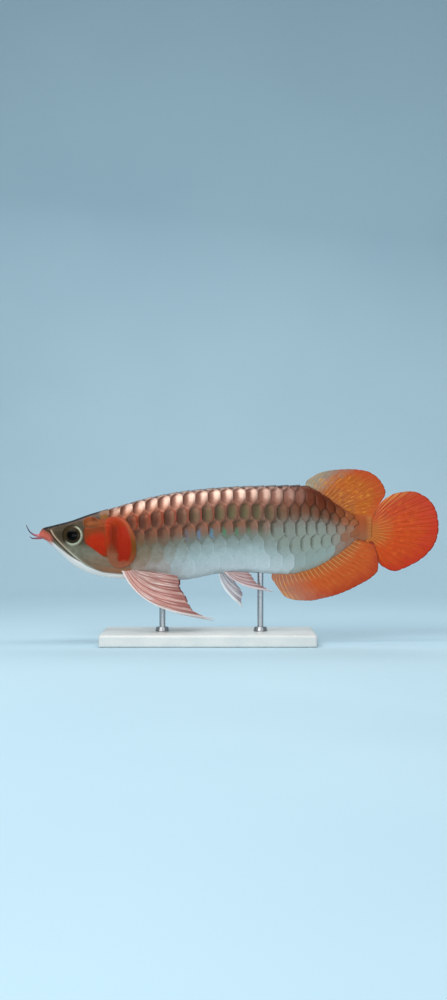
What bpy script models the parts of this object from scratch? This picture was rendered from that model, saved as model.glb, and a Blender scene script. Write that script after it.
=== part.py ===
"""Asian arowana: a life-size still model, held over a plain stand by two rods.

Run with: blender --background --python part.py
Metres, +Z up. The nose points along -X and the fish's left side faces -Y. The origin lies on the
floor under the middle of the whole length, from the tip of the barbels to the edge of the tail fin.
A place on the fish is given by two sizes in the side view: how far it lies behind the chin, and how
far it lies above the axis, the level line through the middle of the tail fin.
"""

import math

import bmesh
import bpy
import numpy as np
from mathutils import Matrix, Vector

MM = 0.001

# Driving dimensions of the whole
GAP = 0.3 * MM  # between pieces that touch
CHIN_X = -194.1 * MM
AXIS_HEIGHT = 112 * MM
BODY_END = 333.5 * MM  # the tail fin's root, behind the chin
HEAD_END = 86 * MM
HEAD_RINGS = 24
TRUNK_END = 229 * MM  # the last scales of the trunk end before this

# Side and top view of the body, in millimetres: distance behind the chin, then the size there
BACK = (
    (0, -4.6), (2, -0.6), (5, 3.0), (12, 4.9), (32, 10), (52, 17), (82, 25.6), (112, 34),
    (152, 41), (202, 45), (252, 46.2), (266, 46.4), (282, 39.5), (302, 25.5), (312, 19.6),
    (322, 15.6), (333.5, 15),
)
BELLY = (
    (0, -5.4), (7, -9.2), (12, -13), (22, -22.5), (37, -35.5), (57, -44), (82, -47.6),
    (112, -49.2), (145, -49), (161, -46.6), (177, -43.2), (206, -41.6), (233, -43.6),
    (251, -44.2), (272, -39.6), (292, -29.6), (312, -15.4), (320, -9.8), (333.5, -9.6),
)
HALF_WIDTH = (
    (0, 2.4), (5, 6.6), (15, 10.2), (33, 14), (60, 18), (90, 20.5), (130, 21), (180, 19.5),
    (230, 15.5), (270, 10.6), (300, 7.2), (322, 4.4), (333.5, 2.4),
)
WIDEST_SHARE = 0.54  # height of the widest place, from belly to back
BACK_FULLNESS = ((0, 2.6), (70, 2.9), (110, 2.3), (334, 2.2))  # 2 is an ellipse, more is squarer
BELLY_FULLNESS = ((0, 1.9), (60, 1.9), (110, 1.75), (334, 1.9))

# Scales: rows are counted from the ridge of the back, 0, to the keel of the belly, 6
ROWS = 6
SIDES_PER_ROW = 3
FIRST_SCALE = 95 * MM
SCALE_PITCH = ((0, 12.45), (240, 12.4), (262, 10.4), (290, 9.9), (334, 8))
SCALE_RELIEF = 0.9 * MM
SCALE_BOW = (0, 0.17, 0.8, 0.9)  # how far the edge draws forward, from a scale's tip to its side
SIDE_RELIEF = 0.3  # the relief's share that is left at a scale's side
LAST_SCALE_ROOM = 12 * MM
NAPE = (78 * MM, 94 * MM)  # where the relief starts, on the ridge and two rows down
UNDER_COVER = 100 * MM  # where it starts behind the gill cover
BARE_TAIL = (318 * MM, 332 * MM)  # where it fades out before the tail fin
DORSAL_ROOT = (256 * MM, 262 * MM)  # where it fades out along the ridge, before the dorsal fin

# Head
EYE_PLACE = (35.5 * MM, -4 * MM)
EYE_RADIUS = 10.6 * MM
EYE_HALF_DEPTH = 4.6 * MM
EYE_STANDS_OUT = 2.2 * MM
EYE_TURN = (0.5, 1)  # how far the eye leans with the cheek, forwards and upwards
EYE_SEGMENTS = 18
MOUTH_LINE = (
    (6.1, 2.5), (12.2, -1), (15.8, -5.7), (22.7, -14.2), (32.7, -23.6), (42.6, -30.1), (49, -34.1),
)
JAW_BACK_CUT = ((54, -43), (58, -62))
JAW_FRONT_CUT = -12  # clear of the chin
JAW_BLOCK_REACH = 40 * MM  # from the middle plane, clear of the cheeks
LIPS = (((1.9, 1.4), 2.0 * MM), ((-1.5, -1.3), 1.2 * MM))  # off the mouth line, and radius
LIP_SUNK = 0.5  # how deep a lip's middle lies in the skin, as a share of its radius
LIP_POINTS = 10
NOSTRILS = ((9.4, 2.3, 0.9), (20, 4.6, 1.2))  # behind the chin, above the axis, radius
GILL_COVER = (
    (68.9, 11.7), (77.3, 14.8), (87.3, 12.3), (94.8, 2.9), (99.3, -8.4), (99.6, -21.3), (95, -30.8),
    (87, -35.7), (77.5, -36), (71.3, -29.3), (69.1, -16.4), (68.1, -2.5),
)
COVER_SEGMENTS = 26
COVER_LIFT = 0.5 * MM
COVER_THICK = 1.4 * MM
COVER_FRONT_SHARE = 0.35  # how thick its front edge is, as a share of its hind edge
COVER_THICKENS = (64 * MM, 92 * MM)
BARBEL_POINTS = 9
BARBEL_RADII = (1.3 * MM, 0.35 * MM)
BARBELS = {
    "barbel_left": ((3, -2, -5), (-3, -3, -4), (-8, -4.4, -0.6), (-11.6, -5, 6.2)),
    "barbel_right": ((3, 2, -6.4), (-2, 3.4, -7.4), (-6.6, 6.4, -7.6), (-10, 10.4, -6)),
}

# Fins, as guide rays in millimetres: behind the chin and above the axis at the root, then both at
# the tip. The fin's own rays are spread between them.
DORSAL = (
    (267.2, 46, 272.6, 53.2), (273, 44.7, 281.5, 58.2), (279.5, 41.8, 295, 61),
    (286, 38.2, 311, 62), (292.5, 33.6, 327.5, 60.2), (299, 28.2, 341.5, 51.2),
    (305.5, 22.6, 347.3, 38.5), (309, 20.4, 341.3, 27.6), (312.3, 19.2, 333.8, 17.6),
)
ANAL = (
    (233.6, -43.2, 237.5, -51.5), (238.5, -44, 246.5, -65.5), (246, -44.4, 258.6, -69.2),
    (255, -43.6, 271.6, -69.6), (264, -42, 284, -67.3), (273, -39.2, 296, -64.5),
    (282, -35, 309, -59.7), (290.5, -30.4, 322, -53.2), (298.5, -25.2, 333, -46.6),
    (306, -19.6, 339.6, -38.5), (312.5, -15.2, 340.2, -31), (317.5, -10.9, 334.8, -20.4),
)
CAUDAL = (
    (333.8, 14.4, 346, 31.8), (333.8, 11.7, 361, 39.3), (333.8, 8.9, 377, 39.3),
    (333.8, 6.2, 391, 31.8), (333.8, 3.4, 398.3, 18.5), (333.8, 0.8, 400.2, 4),
    (333.8, -1.9, 397.6, -10), (333.8, -4.4, 387.5, -24.2), (333.8, -6.6, 373, -34),
    (333.8, -8, 356, -40.2), (333.8, -9, 343, -35.2),
)
PECTORAL = (
    (84.5, -39.5, 177, -85), (86.5, -39.4, 163, -81.2), (88.5, -39.3, 153.6, -75.3),
    (90.5, -39.2, 149.4, -68.6), (92.5, -39.1, 146.2, -62), (94.5, -39, 141.2, -55.4),
    (96.3, -38.9, 141.3, -49.4), (98, -38.8, 139.6, -43.6),
)
PELVIC_LEFT = (
    (186, -41, 234.6, -60), (188.4, -41, 225, -55.2), (190.6, -41, 217.8, -51.2),
    (192.8, -41, 214.8, -47), (195, -41, 212.6, -43.4), (197, -41, 209.8, -41),
)
PELVIC_RIGHT = (
    (180, -41.4, 205.1, -78), (182, -41.3, 203, -71), (184, -41.2, 204.3, -64),
    (186, -41.1, 201.5, -58), (188, -41, 197.5, -53), (190, -41, 195, -48),
)
# Each fin's rays, the faces along a ray, how far the first and the last ray sag at their middles,
# and the thickness at the root. Every ray is a ridge in the membrane.
FIN_MAKE = {
    "dorsal_fin": (14, 4, (-1.5 * MM, 0), 2.2 * MM),
    "anal_fin": (18, 4, (2 * MM, 0), 2.2 * MM),
    "caudal_fin": (15, 4, (-1.5 * MM, 1.5 * MM), 2.2 * MM),
    "pectoral_fin": (7, 7, (15 * MM, -0.5 * MM), 2.4 * MM),
    "pelvic_fin": (6, 4, (5 * MM, -0.5 * MM), 2.4 * MM),
}
MEMBRANE = 0.5 * MM
RAY_THICK = 1.6 * MM
RAY_TAPER = 0.3
COLUMNS_PER_RAY = 3
ROOT_SUNK = 3 * MM
RIM_NOTCH = 0.012  # how far the membrane's edge falls short of the rays, as a share of them
FIN_WAVE = 1.1 * MM  # how far the waves of the dorsal, anal and tail fins swing at the edge
FIN_WAVES = {"dorsal_fin": 1.3, "anal_fin": 1.6, "caudal_fin": 1.0}  # waves along the fin
PECTORAL_REACH = (25 * MM, 10 * MM)  # how far the first and the last tip stand out from the root
PELVIC_REACH = (11 * MM, 5 * MM)
FAR_PECTORAL_DROOP = 1.18  # the far fin hangs this much lower than the near one

# Stand
BASE_SIZE = (212 * MM, 92 * MM, 12 * MM)
BASE_BEVEL = 2 * MM
BASE_BEHIND_CHIN = 170 * MM
ROD_RADIUS = 3 * MM
ROD_SIDES = 16
ROD_SUNK = 5 * MM
RODS = {"stand_rod_front": 124 * MM, "stand_rod_rear": 222 * MM}
COLLAR_RADIUS = 7 * MM
COLLAR_TOP = 6 * MM
COLLAR_HEIGHT = 4 * MM

SIDES = {"left": -1, "right": 1}

COLOURS = {
    "head": ((0.42, 0.27, 0.17), 0.35, 0.15),
    "jaw": ((0.62, 0.62, 0.60), 0.4, 0.05),
    "gill": ((0.72, 0.16, 0.04), 0.3, 0.1),
    "eye": ((0.03, 0.03, 0.03), 0.08, 0.0),
    "scales": ((0.55, 0.50, 0.46), 0.3, 0.35),
    "fin": ((0.80, 0.24, 0.06), 0.45, 0.0),
    "paired_fin": ((0.78, 0.42, 0.36), 0.45, 0.0),
    "barbel": ((0.62, 0.42, 0.45), 0.45, 0.0),
    "base": ((0.72, 0.72, 0.70), 0.5, 0.0),
    "steel": ((0.62, 0.63, 0.65), 0.3, 1.0),
}


def smooth_through(points, unit=MM):
    """A function that runs smoothly through (place, size) pairs, without overshooting."""
    places = np.array([p[0] for p in points], float) * unit
    sizes = np.array([p[1] for p in points], float) * unit
    steps = np.diff(sizes) / np.diff(places)
    slopes = np.concatenate([[steps[0]], np.zeros(len(steps) - 1), [steps[-1]]])
    for i in range(1, len(steps)):
        if steps[i - 1] * steps[i] > 0:
            slopes[i] = 2 * steps[i - 1] * steps[i] / (steps[i - 1] + steps[i])

    def value(at):
        at = np.clip(np.asarray(at, float), places[0], places[-1])
        i = np.clip(np.searchsorted(places, at, side="right") - 1, 0, len(places) - 2)
        long = places[i + 1] - places[i]
        u = (at - places[i]) / long
        return (
            sizes[i] * (1 + 2 * u) * (1 - u) ** 2
            + sizes[i + 1] * u * u * (3 - 2 * u)
            + slopes[i] * long * u * (1 - u) ** 2
            + slopes[i + 1] * long * u * u * (u - 1)
        )

    return value


def numbers_along(points):
    """Like smooth_through, for a plain number that changes along the fish."""
    return smooth_through([(place * MM, size) for place, size in points], unit=1)


back = smooth_through(BACK)
belly = smooth_through(BELLY)
half_width = smooth_through(HALF_WIDTH)
scale_pitch = smooth_through(SCALE_PITCH)
back_fullness = numbers_along(BACK_FULLNESS)
belly_fullness = numbers_along(BELLY_FULLNESS)


def ramp(low, high, at):
    """0 below low, 1 above high, and smooth between them."""
    u = np.clip((np.asarray(at, float) - low) / (high - low), 0, 1)
    return u * u * (3 - 2 * u)


def flank_width(behind, above):
    """Half the body's width at this place of the side view."""
    top, bottom = back(behind), belly(behind)
    middle = bottom + WIDEST_SHARE * (top - bottom)
    upper = above > middle
    share = np.abs(above - middle) / np.where(upper, top - middle, middle - bottom)
    power = np.where(upper, back_fullness(behind), belly_fullness(behind))
    return half_width(behind) * (1 - np.clip(share, 0, 1) ** power) ** (1 / power)


def body_points(behind, turn):
    """Points of the body's surface. turn is the share of the girth: 0 on the ridge of the back,
    1 on the keel of the belly, and negative on the left side."""
    behind, turn = np.broadcast_arrays(np.asarray(behind, float), np.asarray(turn, float))
    angle = np.linspace(0, math.pi, 73)
    sine, cosine = np.sin(angle), np.cos(angle)
    found = np.empty(behind.shape + (3,))
    for i in np.ndindex(behind.shape):
        s = behind[i]
        top, bottom = float(back(s)), float(belly(s))
        middle = bottom + WIDEST_SHARE * (top - bottom)
        power = np.where(cosine > 0, back_fullness(s), belly_fullness(s))
        y = float(half_width(s)) * sine ** (2 / power)
        reach = np.where(cosine > 0, top - middle, middle - bottom)
        z = middle + reach * np.sign(cosine) * np.abs(cosine) ** (2 / power)
        along = np.concatenate([[0], np.cumsum(np.hypot(np.diff(y), np.diff(z)))])
        wanted = min(abs(turn[i]), 2 - abs(turn[i])) * along[-1]
        side = math.copysign(1, turn[i]) * (1 if abs(turn[i]) <= 1 else -1)
        found[i] = (s, side * np.interp(wanted, along, y), np.interp(wanted, along, z))
    return found


def body_surface(behind, turn, rise):
    """Points of the surface, raised along its normal. Behind the chin, across, above the axis."""
    behind, turn = np.broadcast_arrays(np.asarray(behind, float), np.asarray(turn, float))
    step, part = 0.4 * MM, 0.012
    here = body_points(behind, turn)
    along = body_points(behind + step, turn) - body_points(behind - step, turn)
    around = body_points(behind, turn + part) - body_points(behind, turn - part)
    normal = np.cross(along, around)
    normal /= np.linalg.norm(normal, axis=-1, keepdims=True) + 1e-12
    return here + normal * np.asarray(rise)[..., None]


def side_surface(behind, above, side, rise=0.0):
    """A point of the flank at a place of the side view, raised along the normal, and that normal."""
    step = 0.3 * MM
    y = float(flank_width(behind, above))
    slope_x = float(flank_width(behind + step, above) - flank_width(behind - step, above)) / (2 * step)
    slope_z = float(flank_width(behind, above + step) - flank_width(behind, above - step)) / (2 * step)
    normal = Vector((-slope_x, side, -slope_z)).normalized()
    return Vector((behind, side * y, above)) + normal * rise, normal


def in_world(point):
    """From behind the chin, across and above the axis to the part's own frame."""
    return Vector((point[0] + CHIN_X, point[1], point[2] + AXIS_HEIGHT))


def material(slot):
    made = bpy.data.materials.get(slot)
    if made is None:
        colour, roughness, metallic = COLOURS[slot]
        made = bpy.data.materials.new(slot)
        made.use_nodes = True
        shader = made.node_tree.nodes["Principled BSDF"]
        shader.inputs["Base Color"].default_value = (*colour, 1)
        shader.inputs["Roughness"].default_value = roughness
        shader.inputs["Metallic"].default_value = metallic
    return made


def collection(name, hidden=False):
    made = bpy.data.collections.get(name)
    if made is None:
        made = bpy.data.collections.new(name)
        bpy.context.scene.collection.children.link(made)
        made.hide_render = hidden
    return made


def add(name, mesh, slot=None):
    """An object for a node of the fish, or for a cutter where no slot is given."""
    made = bpy.data.objects.new(name, mesh)
    if slot:
        mesh.materials.clear()
        mesh.materials.append(material(slot))
        collection("arowana").objects.link(made)
    else:
        made.hide_render = True
        made.display_type = "WIRE"
        collection("cutters", hidden=True).objects.link(made)
    return made


def mesh_from(bm, name, smooth=False):
    mesh = bpy.data.meshes.new(name)
    bm.to_mesh(mesh)
    bm.free()
    if smooth:
        mesh.shade_smooth()
        mesh.set_sharp_from_angle(angle=math.radians(35))
    return mesh


def largest_piece(mesh):
    """Leaves only the closed surface with the largest area."""
    bm = bmesh.new()
    bm.from_mesh(mesh)
    left, pieces = set(bm.faces), []
    while left:
        piece, front = set(), [left.pop()]
        while front:
            face = front.pop()
            piece.add(face)
            near = {f for e in face.edges for f in e.link_faces} & left
            left -= near
            front.extend(near)
        pieces.append(piece)
    if len(pieces) > 1:
        keep = max(pieces, key=lambda piece: sum(f.calc_area() for f in piece))
        bmesh.ops.delete(bm, geom=[f for f in bm.faces if f not in keep], context="FACES")
        bm.to_mesh(mesh)
    bm.free()


def apply_modifiers(obj):
    bpy.context.view_layer.update()
    shown = obj.evaluated_get(bpy.context.evaluated_depsgraph_get())
    mesh = bpy.data.meshes.new_from_object(shown)
    obj.modifiers.clear()
    obj.data = mesh


def combine(obj, operation, others, keep=False, solver="EXACT"):
    """One Boolean of obj with a collection of closed meshes, applied."""
    group = bpy.data.collections.new(f"{obj.name}_{operation.lower()}")
    for other in others:
        group.objects.link(other)
    modifier = obj.modifiers.new(operation.lower(), "BOOLEAN")
    modifier.operation = operation
    modifier.solver = solver
    modifier.operand_type = "COLLECTION"
    modifier.collection = group
    apply_modifiers(obj)
    if not keep:
        for other in others:
            bpy.data.objects.remove(other)
    bpy.data.collections.remove(group)
    largest_piece(obj.data)


def loft(rings):
    """A closed skin over rings of points, with a fan of triangles over each end."""
    bm = bmesh.new()
    made = [[bm.verts.new(in_world(p)) for p in ring] for ring in rings]
    count = len(made[0])
    for low, high in zip(made, made[1:]):
        for i in range(count):
            j = (i + 1) % count
            bm.faces.new((low[i], low[j], high[j], high[i]))
    ends = [bm.faces.new(made[0][::-1]), bm.faces.new(made[-1])]
    fans = bmesh.ops.poke(bm, faces=ends)
    for middle, ring in zip(fans["verts"], (rings[0], rings[-1])):
        middle.co = in_world(np.mean(ring, axis=0))
    bmesh.ops.recalc_face_normals(bm, faces=bm.faces)
    return mesh_from(bm, "loft", smooth=True)


def ring_rows():
    count = 2 * ROWS * SIDES_PER_ROW
    return (np.arange(count) - count // 2) / SIDES_PER_ROW


def scale_strength(behind, row):
    """How much of the scales' relief shows: none under the gill covers and along the fins' roots."""
    level = np.abs(row)
    starts = np.where(level < 2, NAPE[0] + (NAPE[1] - NAPE[0]) * level / 2, UNDER_COVER)
    shown = ramp(starts - 4 * MM, starts + 4 * MM, behind) * (1 - ramp(*BARE_TAIL, behind))
    off_ridge = ramp(0.2, 0.8, level)
    off_keel = ramp(0.2, 0.8, ROWS - level)
    under_dorsal = ramp(*DORSAL_ROOT, behind)
    return shown * off_keel * (1 - under_dorsal * (1 - off_ridge))


def body_rings(grown=0.0):
    """Rings that follow the scales' rounded hind edges: one on each edge, and one just behind it,
    at its foot. They come in two runs, the trunk's and the tail's, which part along an edge with no
    step, so that their ends fit. A grown body is smooth."""
    rows = ring_rows()
    turns = rows / ROWS
    level = np.full(len(rows), grown)
    rings, trunk_count = [body_surface(HEAD_END, turns, level)], 0
    tip, column = FIRST_SCALE, 0
    while tip < BODY_END - LAST_SCALE_ROOM:
        half_pitch = float(scale_pitch(tip)) / 2
        off_row = np.abs((rows + column) % 2 - 1)
        edge = tip - half_pitch * np.interp(off_row * SIDES_PER_ROW, range(len(SCALE_BOW)), SCALE_BOW)
        fading = 1 - (1 - SIDE_RELIEF) * ramp(0.7, 1, off_row)
        depth = SCALE_RELIEF * fading * scale_strength(edge, rows)
        rings.append(body_surface(edge, turns, level))
        parted = tip < TRUNK_END <= tip + half_pitch
        if parted:
            trunk_count = len(rings)
        rings.append(body_surface(edge + GAP, turns, level if grown or parted else -depth))
        tip, column = tip + half_pitch, column + 1
    rings.append(body_surface(BODY_END + grown, turns, level))
    return rings[:trunk_count], rings[trunk_count:]


def head_rings(grown=0.0):
    """Rings of the head, closest together at the snout."""
    turns = ring_rows() / ROWS
    level = np.full(len(turns), grown)
    places = np.linspace(0.008, 1, HEAD_RINGS) ** 1.25 * (HEAD_END - GAP)
    return [body_surface(behind, turns, level) for behind in places]


def ellipsoid(name, centre, radii, normal, segments, slot=None):
    bm = bmesh.new()
    bmesh.ops.create_uvsphere(bm, u_segments=segments, v_segments=segments * 5 // 8, radius=1)
    turned = normal.to_track_quat("Z", "Y").to_matrix().to_4x4()
    place = Matrix.Translation(in_world(centre)) @ turned @ Matrix.Diagonal((*radii, 1))
    bmesh.ops.transform(bm, matrix=place, verts=bm.verts)
    return add(name, mesh_from(bm, name, smooth=True), slot)


def tube(name, points, radii, slot=None):
    """A six-sided bar along points, made a mesh with closed ends."""
    curve = bpy.data.curves.new(name, "CURVE")
    curve.dimensions = "3D"
    curve.bevel_depth = 1
    curve.bevel_resolution = 1
    curve.use_fill_caps = True
    spline = curve.splines.new("POLY")
    spline.points.add(len(points) - 1)
    for knot, point, radius in zip(spline.points, points, radii):
        knot.co = (*in_world(point), 1)
        knot.radius = radius
    guide = bpy.data.objects.new(name, curve)
    bpy.context.scene.collection.objects.link(guide)
    bpy.context.view_layer.update()
    mesh = bpy.data.meshes.new_from_object(guide.evaluated_get(bpy.context.evaluated_depsgraph_get()))
    bpy.data.objects.remove(guide)
    bm = bmesh.new()
    bm.from_mesh(mesh)
    bmesh.ops.remove_doubles(bm, verts=bm.verts, dist=1e-6)
    bmesh.ops.recalc_face_normals(bm, faces=bm.faces)
    return add(name, mesh_from(bm, name, smooth=True), slot)


def prism(name, outline, shift=(0, 0)):
    """A flat outline of the side view, in millimetres, made a block right across the fish."""
    bm = bmesh.new()
    points = [(p[0] * MM + shift[0], -JAW_BLOCK_REACH, p[1] * MM + shift[1]) for p in outline]
    face = bm.faces.new([bm.verts.new(in_world(p)) for p in points])
    grown = bmesh.ops.extrude_face_region(bm, geom=[face])
    moved = [v for v in grown["geom"] if isinstance(v, bmesh.types.BMVert)]
    bmesh.ops.translate(bm, vec=(0, 2 * JAW_BLOCK_REACH, 0), verts=moved)
    bmesh.ops.recalc_face_normals(bm, faces=bm.faces)
    return add(name, mesh_from(bm, name))


def rays_through(guides):
    """The root and the tip of the ray at a share of the fin, from its first guide ray to its last."""
    shares = np.linspace(0, 1, len(guides))
    runs = [smooth_through([(u, g[k] * MM) for u, g in zip(shares, guides)], unit=1) for k in range(4)]
    return lambda f: (np.array([run(f) for run in runs[:2]]), np.array([run(f) for run in runs[2:]]))


def curve_through(points):
    """A smooth curve through points in millimetres, from 0 at the first to 1 at the last."""
    knots = np.array(points, float) * MM
    long = np.concatenate([[0], np.cumsum(np.linalg.norm(np.diff(knots, axis=0), axis=1))])
    shares = long / long[-1]
    runs = [smooth_through(list(zip(shares, knots[:, k])), unit=1) for k in range(knots.shape[1])]
    return lambda share: np.array([run(share) for run in runs])


def make_head():
    """The head and the lower jaw, parted by the mouth, with the eyes in their sockets."""
    head = add("head", loft(head_rings()), "head")
    lips = []
    for side in SIDES.values():
        for (across, up), radius in LIPS:
            line = curve_through([(x + across, z + up) for x, z in MOUTH_LINE[1:]])
            shares = np.linspace(0, 1, LIP_POINTS)
            points = [side_surface(*line(u), side, rise=-LIP_SUNK * radius)[0] for u in shares]
            radii = radius * (0.7 + 0.45 * np.sin(math.pi * shares**0.7))
            lips.append(tube("lip", points, radii))
    combine(head, "UNION", lips)

    hollows = []
    for name, side in SIDES.items():
        eye, normal = side_surface(*EYE_PLACE, side, rise=EYE_STANDS_OUT - EYE_HALF_DEPTH)
        look = Vector((EYE_TURN[0] * normal.x, normal.y, EYE_TURN[1] * normal.z)).normalized()
        size = Vector((EYE_RADIUS, EYE_RADIUS, EYE_HALF_DEPTH))
        ellipsoid(f"eye_{name}", eye, size, look, EYE_SEGMENTS, "eye")
        hollows.append(ellipsoid("socket", eye, size + Vector((GAP, GAP, GAP)), look, EYE_SEGMENTS))
        for behind, above, radius in NOSTRILS:
            pit, normal = side_surface(behind * MM, above * MM, side)
            hollows.append(ellipsoid("nostril", pit, [radius * MM] * 3, normal, 8))
    combine(head, "DIFFERENCE", hollows)

    mouth_height, cut_foot = MOUTH_LINE[0][1], JAW_BACK_CUT[-1][1]
    front = [(JAW_FRONT_CUT, cut_foot), (JAW_FRONT_CUT, mouth_height)]
    outline = [*front, *MOUTH_LINE, *JAW_BACK_CUT]
    jaw = add("lower_jaw", head.data.copy(), "jaw")
    combine(jaw, "INTERSECT", [prism("jaw_block", outline, shift=(-GAP, -GAP))])
    combine(head, "DIFFERENCE", [prism("jaw_space", outline)])


def make_gill_cover(name, side):
    """The bony flap: a thin plate over the head's hind end, thinnest along its front. It is a disc
    of three rings of triangles, whose rim is drawn out to the outline."""
    outline = np.array(GILL_COVER) * MM
    centre = outline.mean(axis=0)
    corners = smooth_loop(outline)
    bm = bmesh.new()
    bmesh.ops.create_circle(bm, cap_ends=True, cap_tris=True, segments=COVER_SEGMENTS, radius=0.5)
    for growth in (1.6, 1.25):
        rim = [e for e in bm.edges if e.is_boundary]
        grown = bmesh.ops.extrude_edge_only(bm, edges=rim)
        moved = [v for v in grown["geom"] if isinstance(v, bmesh.types.BMVert)]
        bmesh.ops.scale(bm, vec=(growth,) * 3, verts=moved)
    weights = bm.verts.layers.deform.verify()
    for vert in bm.verts:
        share, angle = vert.co.length, math.atan2(vert.co.y, vert.co.x)
        behind, above = centre + share * (corners(angle / (2 * math.pi)) - centre)
        hind = float(ramp(*COVER_THICKENS, behind))
        vert[weights][0] = COVER_FRONT_SHARE + (1 - COVER_FRONT_SHARE) * hind
        vert.co = in_world(side_surface(behind, above, side, rise=COVER_LIFT)[0])
    bmesh.ops.recalc_face_normals(bm, faces=bm.faces)
    if sum(f.normal.y for f in bm.faces) * side < 0:
        bmesh.ops.reverse_faces(bm, faces=bm.faces)
    return thicken(add(name, mesh_from(bm, name, smooth=True), "gill"), COVER_THICK, 1)


def smooth_loop(points):
    """A closed curve through the points: a place on it for each share of a turn."""
    count = len(points)

    def place(share):
        at = share % 1 * count
        i, u = int(at), at - int(at)
        before, here, after, beyond = (points[(i + k) % count] for k in (-1, 0, 1, 2))
        rise = (after - before) * u
        bend = (2 * before - 5 * here + 4 * after - beyond) * u**2
        twist = (3 * here - before - 3 * after + beyond) * u**3
        return here + 0.5 * (rise + bend + twist)

    return place


def thicken(obj, thickness, offset):
    """Gives a sheet its thickness, weighted by its first vertex group, with like triangles on
    both faces."""
    obj.vertex_groups.new(name="thickness")
    split = obj.modifiers.new("triangles", "TRIANGULATE")
    split.quad_method = "FIXED"
    body = obj.modifiers.new("thickness", "SOLIDIFY")
    body.thickness = thickness
    body.offset = offset
    body.vertex_group = "thickness"
    body.use_even_offset = False
    return obj


def make_fin(kind, name, guides, across, slot, cutter):
    """A fin as a fan of rays, cut to fit the body. across gives how far a point stands off the
    middle plane, from its share of the fin and how far out it is."""
    rays, rows, bow, root_thick = FIN_MAKE[kind]
    columns = COLUMNS_PER_RAY * (rays - 1)
    ray = rays_through(guides)
    bm = bmesh.new()
    bmesh.ops.create_grid(bm, x_segments=columns, y_segments=rows, size=1)
    weights = bm.verts.layers.deform.verify()
    for vert in bm.verts:
        f, r = (vert.co.x + 1) / 2, (vert.co.y + 1) / 2
        on_ray = round(f * columns) % COLUMNS_PER_RAY == 0
        root, tip = ray(f)
        lean = tip - root
        long = float(np.linalg.norm(lean))
        reach = r if on_ray else r - RIM_NOTCH * r * r
        along = reach * (1 + ROOT_SUNK / long) - ROOT_SUNK / long
        out = max(along, 0)
        sag = (bow[0] + (bow[1] - bow[0]) * f) * math.sin(math.pi * min(out, 1) ** 0.8)
        normal = np.array((lean[1], -lean[0])) / long
        behind, above = root + lean * along + normal * sag
        vert.co = in_world((behind, across(f, out), above))
        blade = RAY_THICK * (1 - RAY_TAPER * out) if on_ray else MEMBRANE
        vert[weights][0] = 1 + (blade / root_thick - 1) * float(ramp(0, 0.2, out))
    fin = thicken(add(name, mesh_from(bm, name, smooth=True), slot), root_thick, 0)
    combine(fin, "DIFFERENCE", [cutter], keep=True, solver="MANIFOLD")  # exact loses thin fins


def make_median_fins(cutter):
    """The dorsal, anal and tail fins, which stand in the fish's middle plane with a slight wave."""
    for name, guides in (("dorsal_fin", DORSAL), ("anal_fin", ANAL), ("caudal_fin", CAUDAL)):

        def wave(f, out, waves=FIN_WAVES[name]):
            return FIN_WAVE * out * out * math.sin(2 * math.pi * (waves * f + 0.3 * out))

        make_fin(name, name, guides, wave, "fin", cutter)


def make_paired_fins(cutter):
    """The pectoral and pelvic fins, which lean out from the belly. Each is rooted just inside the
    flank, at the height of one of its guide rays."""
    for name, side in SIDES.items():
        droop = FAR_PECTORAL_DROOP if name == "right" else 1
        guides = [(s, a, tip, a + droop * (down - a)) for s, a, tip, down in PECTORAL]
        root = float(flank_width(guides[3][0] * MM, guides[3][1] * MM))
        root -= FIN_MAKE["pectoral_fin"][-1] / 2

        def pectoral(f, out, side=side, root=root):
            reach = PECTORAL_REACH[0] + (PECTORAL_REACH[1] - PECTORAL_REACH[0]) * f
            return side * (root + reach * out**0.9)

        make_fin("pectoral_fin", f"pectoral_fin_{name}", guides, pectoral, "paired_fin", cutter)

        guides = PELVIC_LEFT if name == "left" else PELVIC_RIGHT
        root = float(flank_width(guides[2][0] * MM, guides[2][1] * MM))

        def pelvic(f, out, side=side, root=root):
            reach = PELVIC_REACH[0] + (PELVIC_REACH[1] - PELVIC_REACH[0]) * f
            return side * (root + reach * out**0.7)

        make_fin("pelvic_fin", f"pelvic_fin_{name}", guides, pelvic, "paired_fin", cutter)


def make_stand(cutter):
    """A flat base and two rods, whose tops fit the belly."""
    height = BASE_SIZE[2]
    bm = bmesh.new()
    bmesh.ops.create_cube(bm, size=1)
    bmesh.ops.scale(bm, vec=BASE_SIZE, verts=bm.verts)
    bmesh.ops.translate(bm, vec=(CHIN_X + BASE_BEHIND_CHIN, 0, height / 2), verts=bm.verts)
    base = add("stand_base", mesh_from(bm, "stand_base"), "base")
    edge = base.modifiers.new("edge", "BEVEL")
    edge.width = BASE_BEVEL
    edge.segments = 2
    for name, behind in RODS.items():
        top = AXIS_HEIGHT + float(belly(behind)) + ROD_SUNK
        foot = height + GAP
        rod = upright(name, behind, ROD_RADIUS, ROD_RADIUS, foot, top, "steel")
        collar = upright("collar", behind, COLLAR_RADIUS, COLLAR_TOP, foot, foot + COLLAR_HEIGHT)
        combine(rod, "UNION", [collar])
        combine(rod, "DIFFERENCE", [cutter], keep=True)


def upright(name, behind, radius_low, radius_high, low, high, slot=None):
    bm = bmesh.new()
    bmesh.ops.create_cone(
        bm, cap_ends=True, segments=ROD_SIDES, radius1=radius_low, radius2=radius_high, depth=high - low
    )
    bmesh.ops.translate(bm, vec=(CHIN_X + behind, 0, (low + high) / 2), verts=bm.verts)
    return add(name, mesh_from(bm, name, smooth=True), slot)


def make_barbels(cutter):
    for name, points in BARBELS.items():
        path = curve_through(points)
        shares = np.linspace(0, 1, BARBEL_POINTS)
        radii = BARBEL_RADII[0] + (BARBEL_RADII[1] - BARBEL_RADII[0]) * shares
        barbel = tube(name, [path(u) for u in shares], radii, slot="barbel")
        combine(barbel, "DIFFERENCE", [cutter], keep=True)


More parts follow.
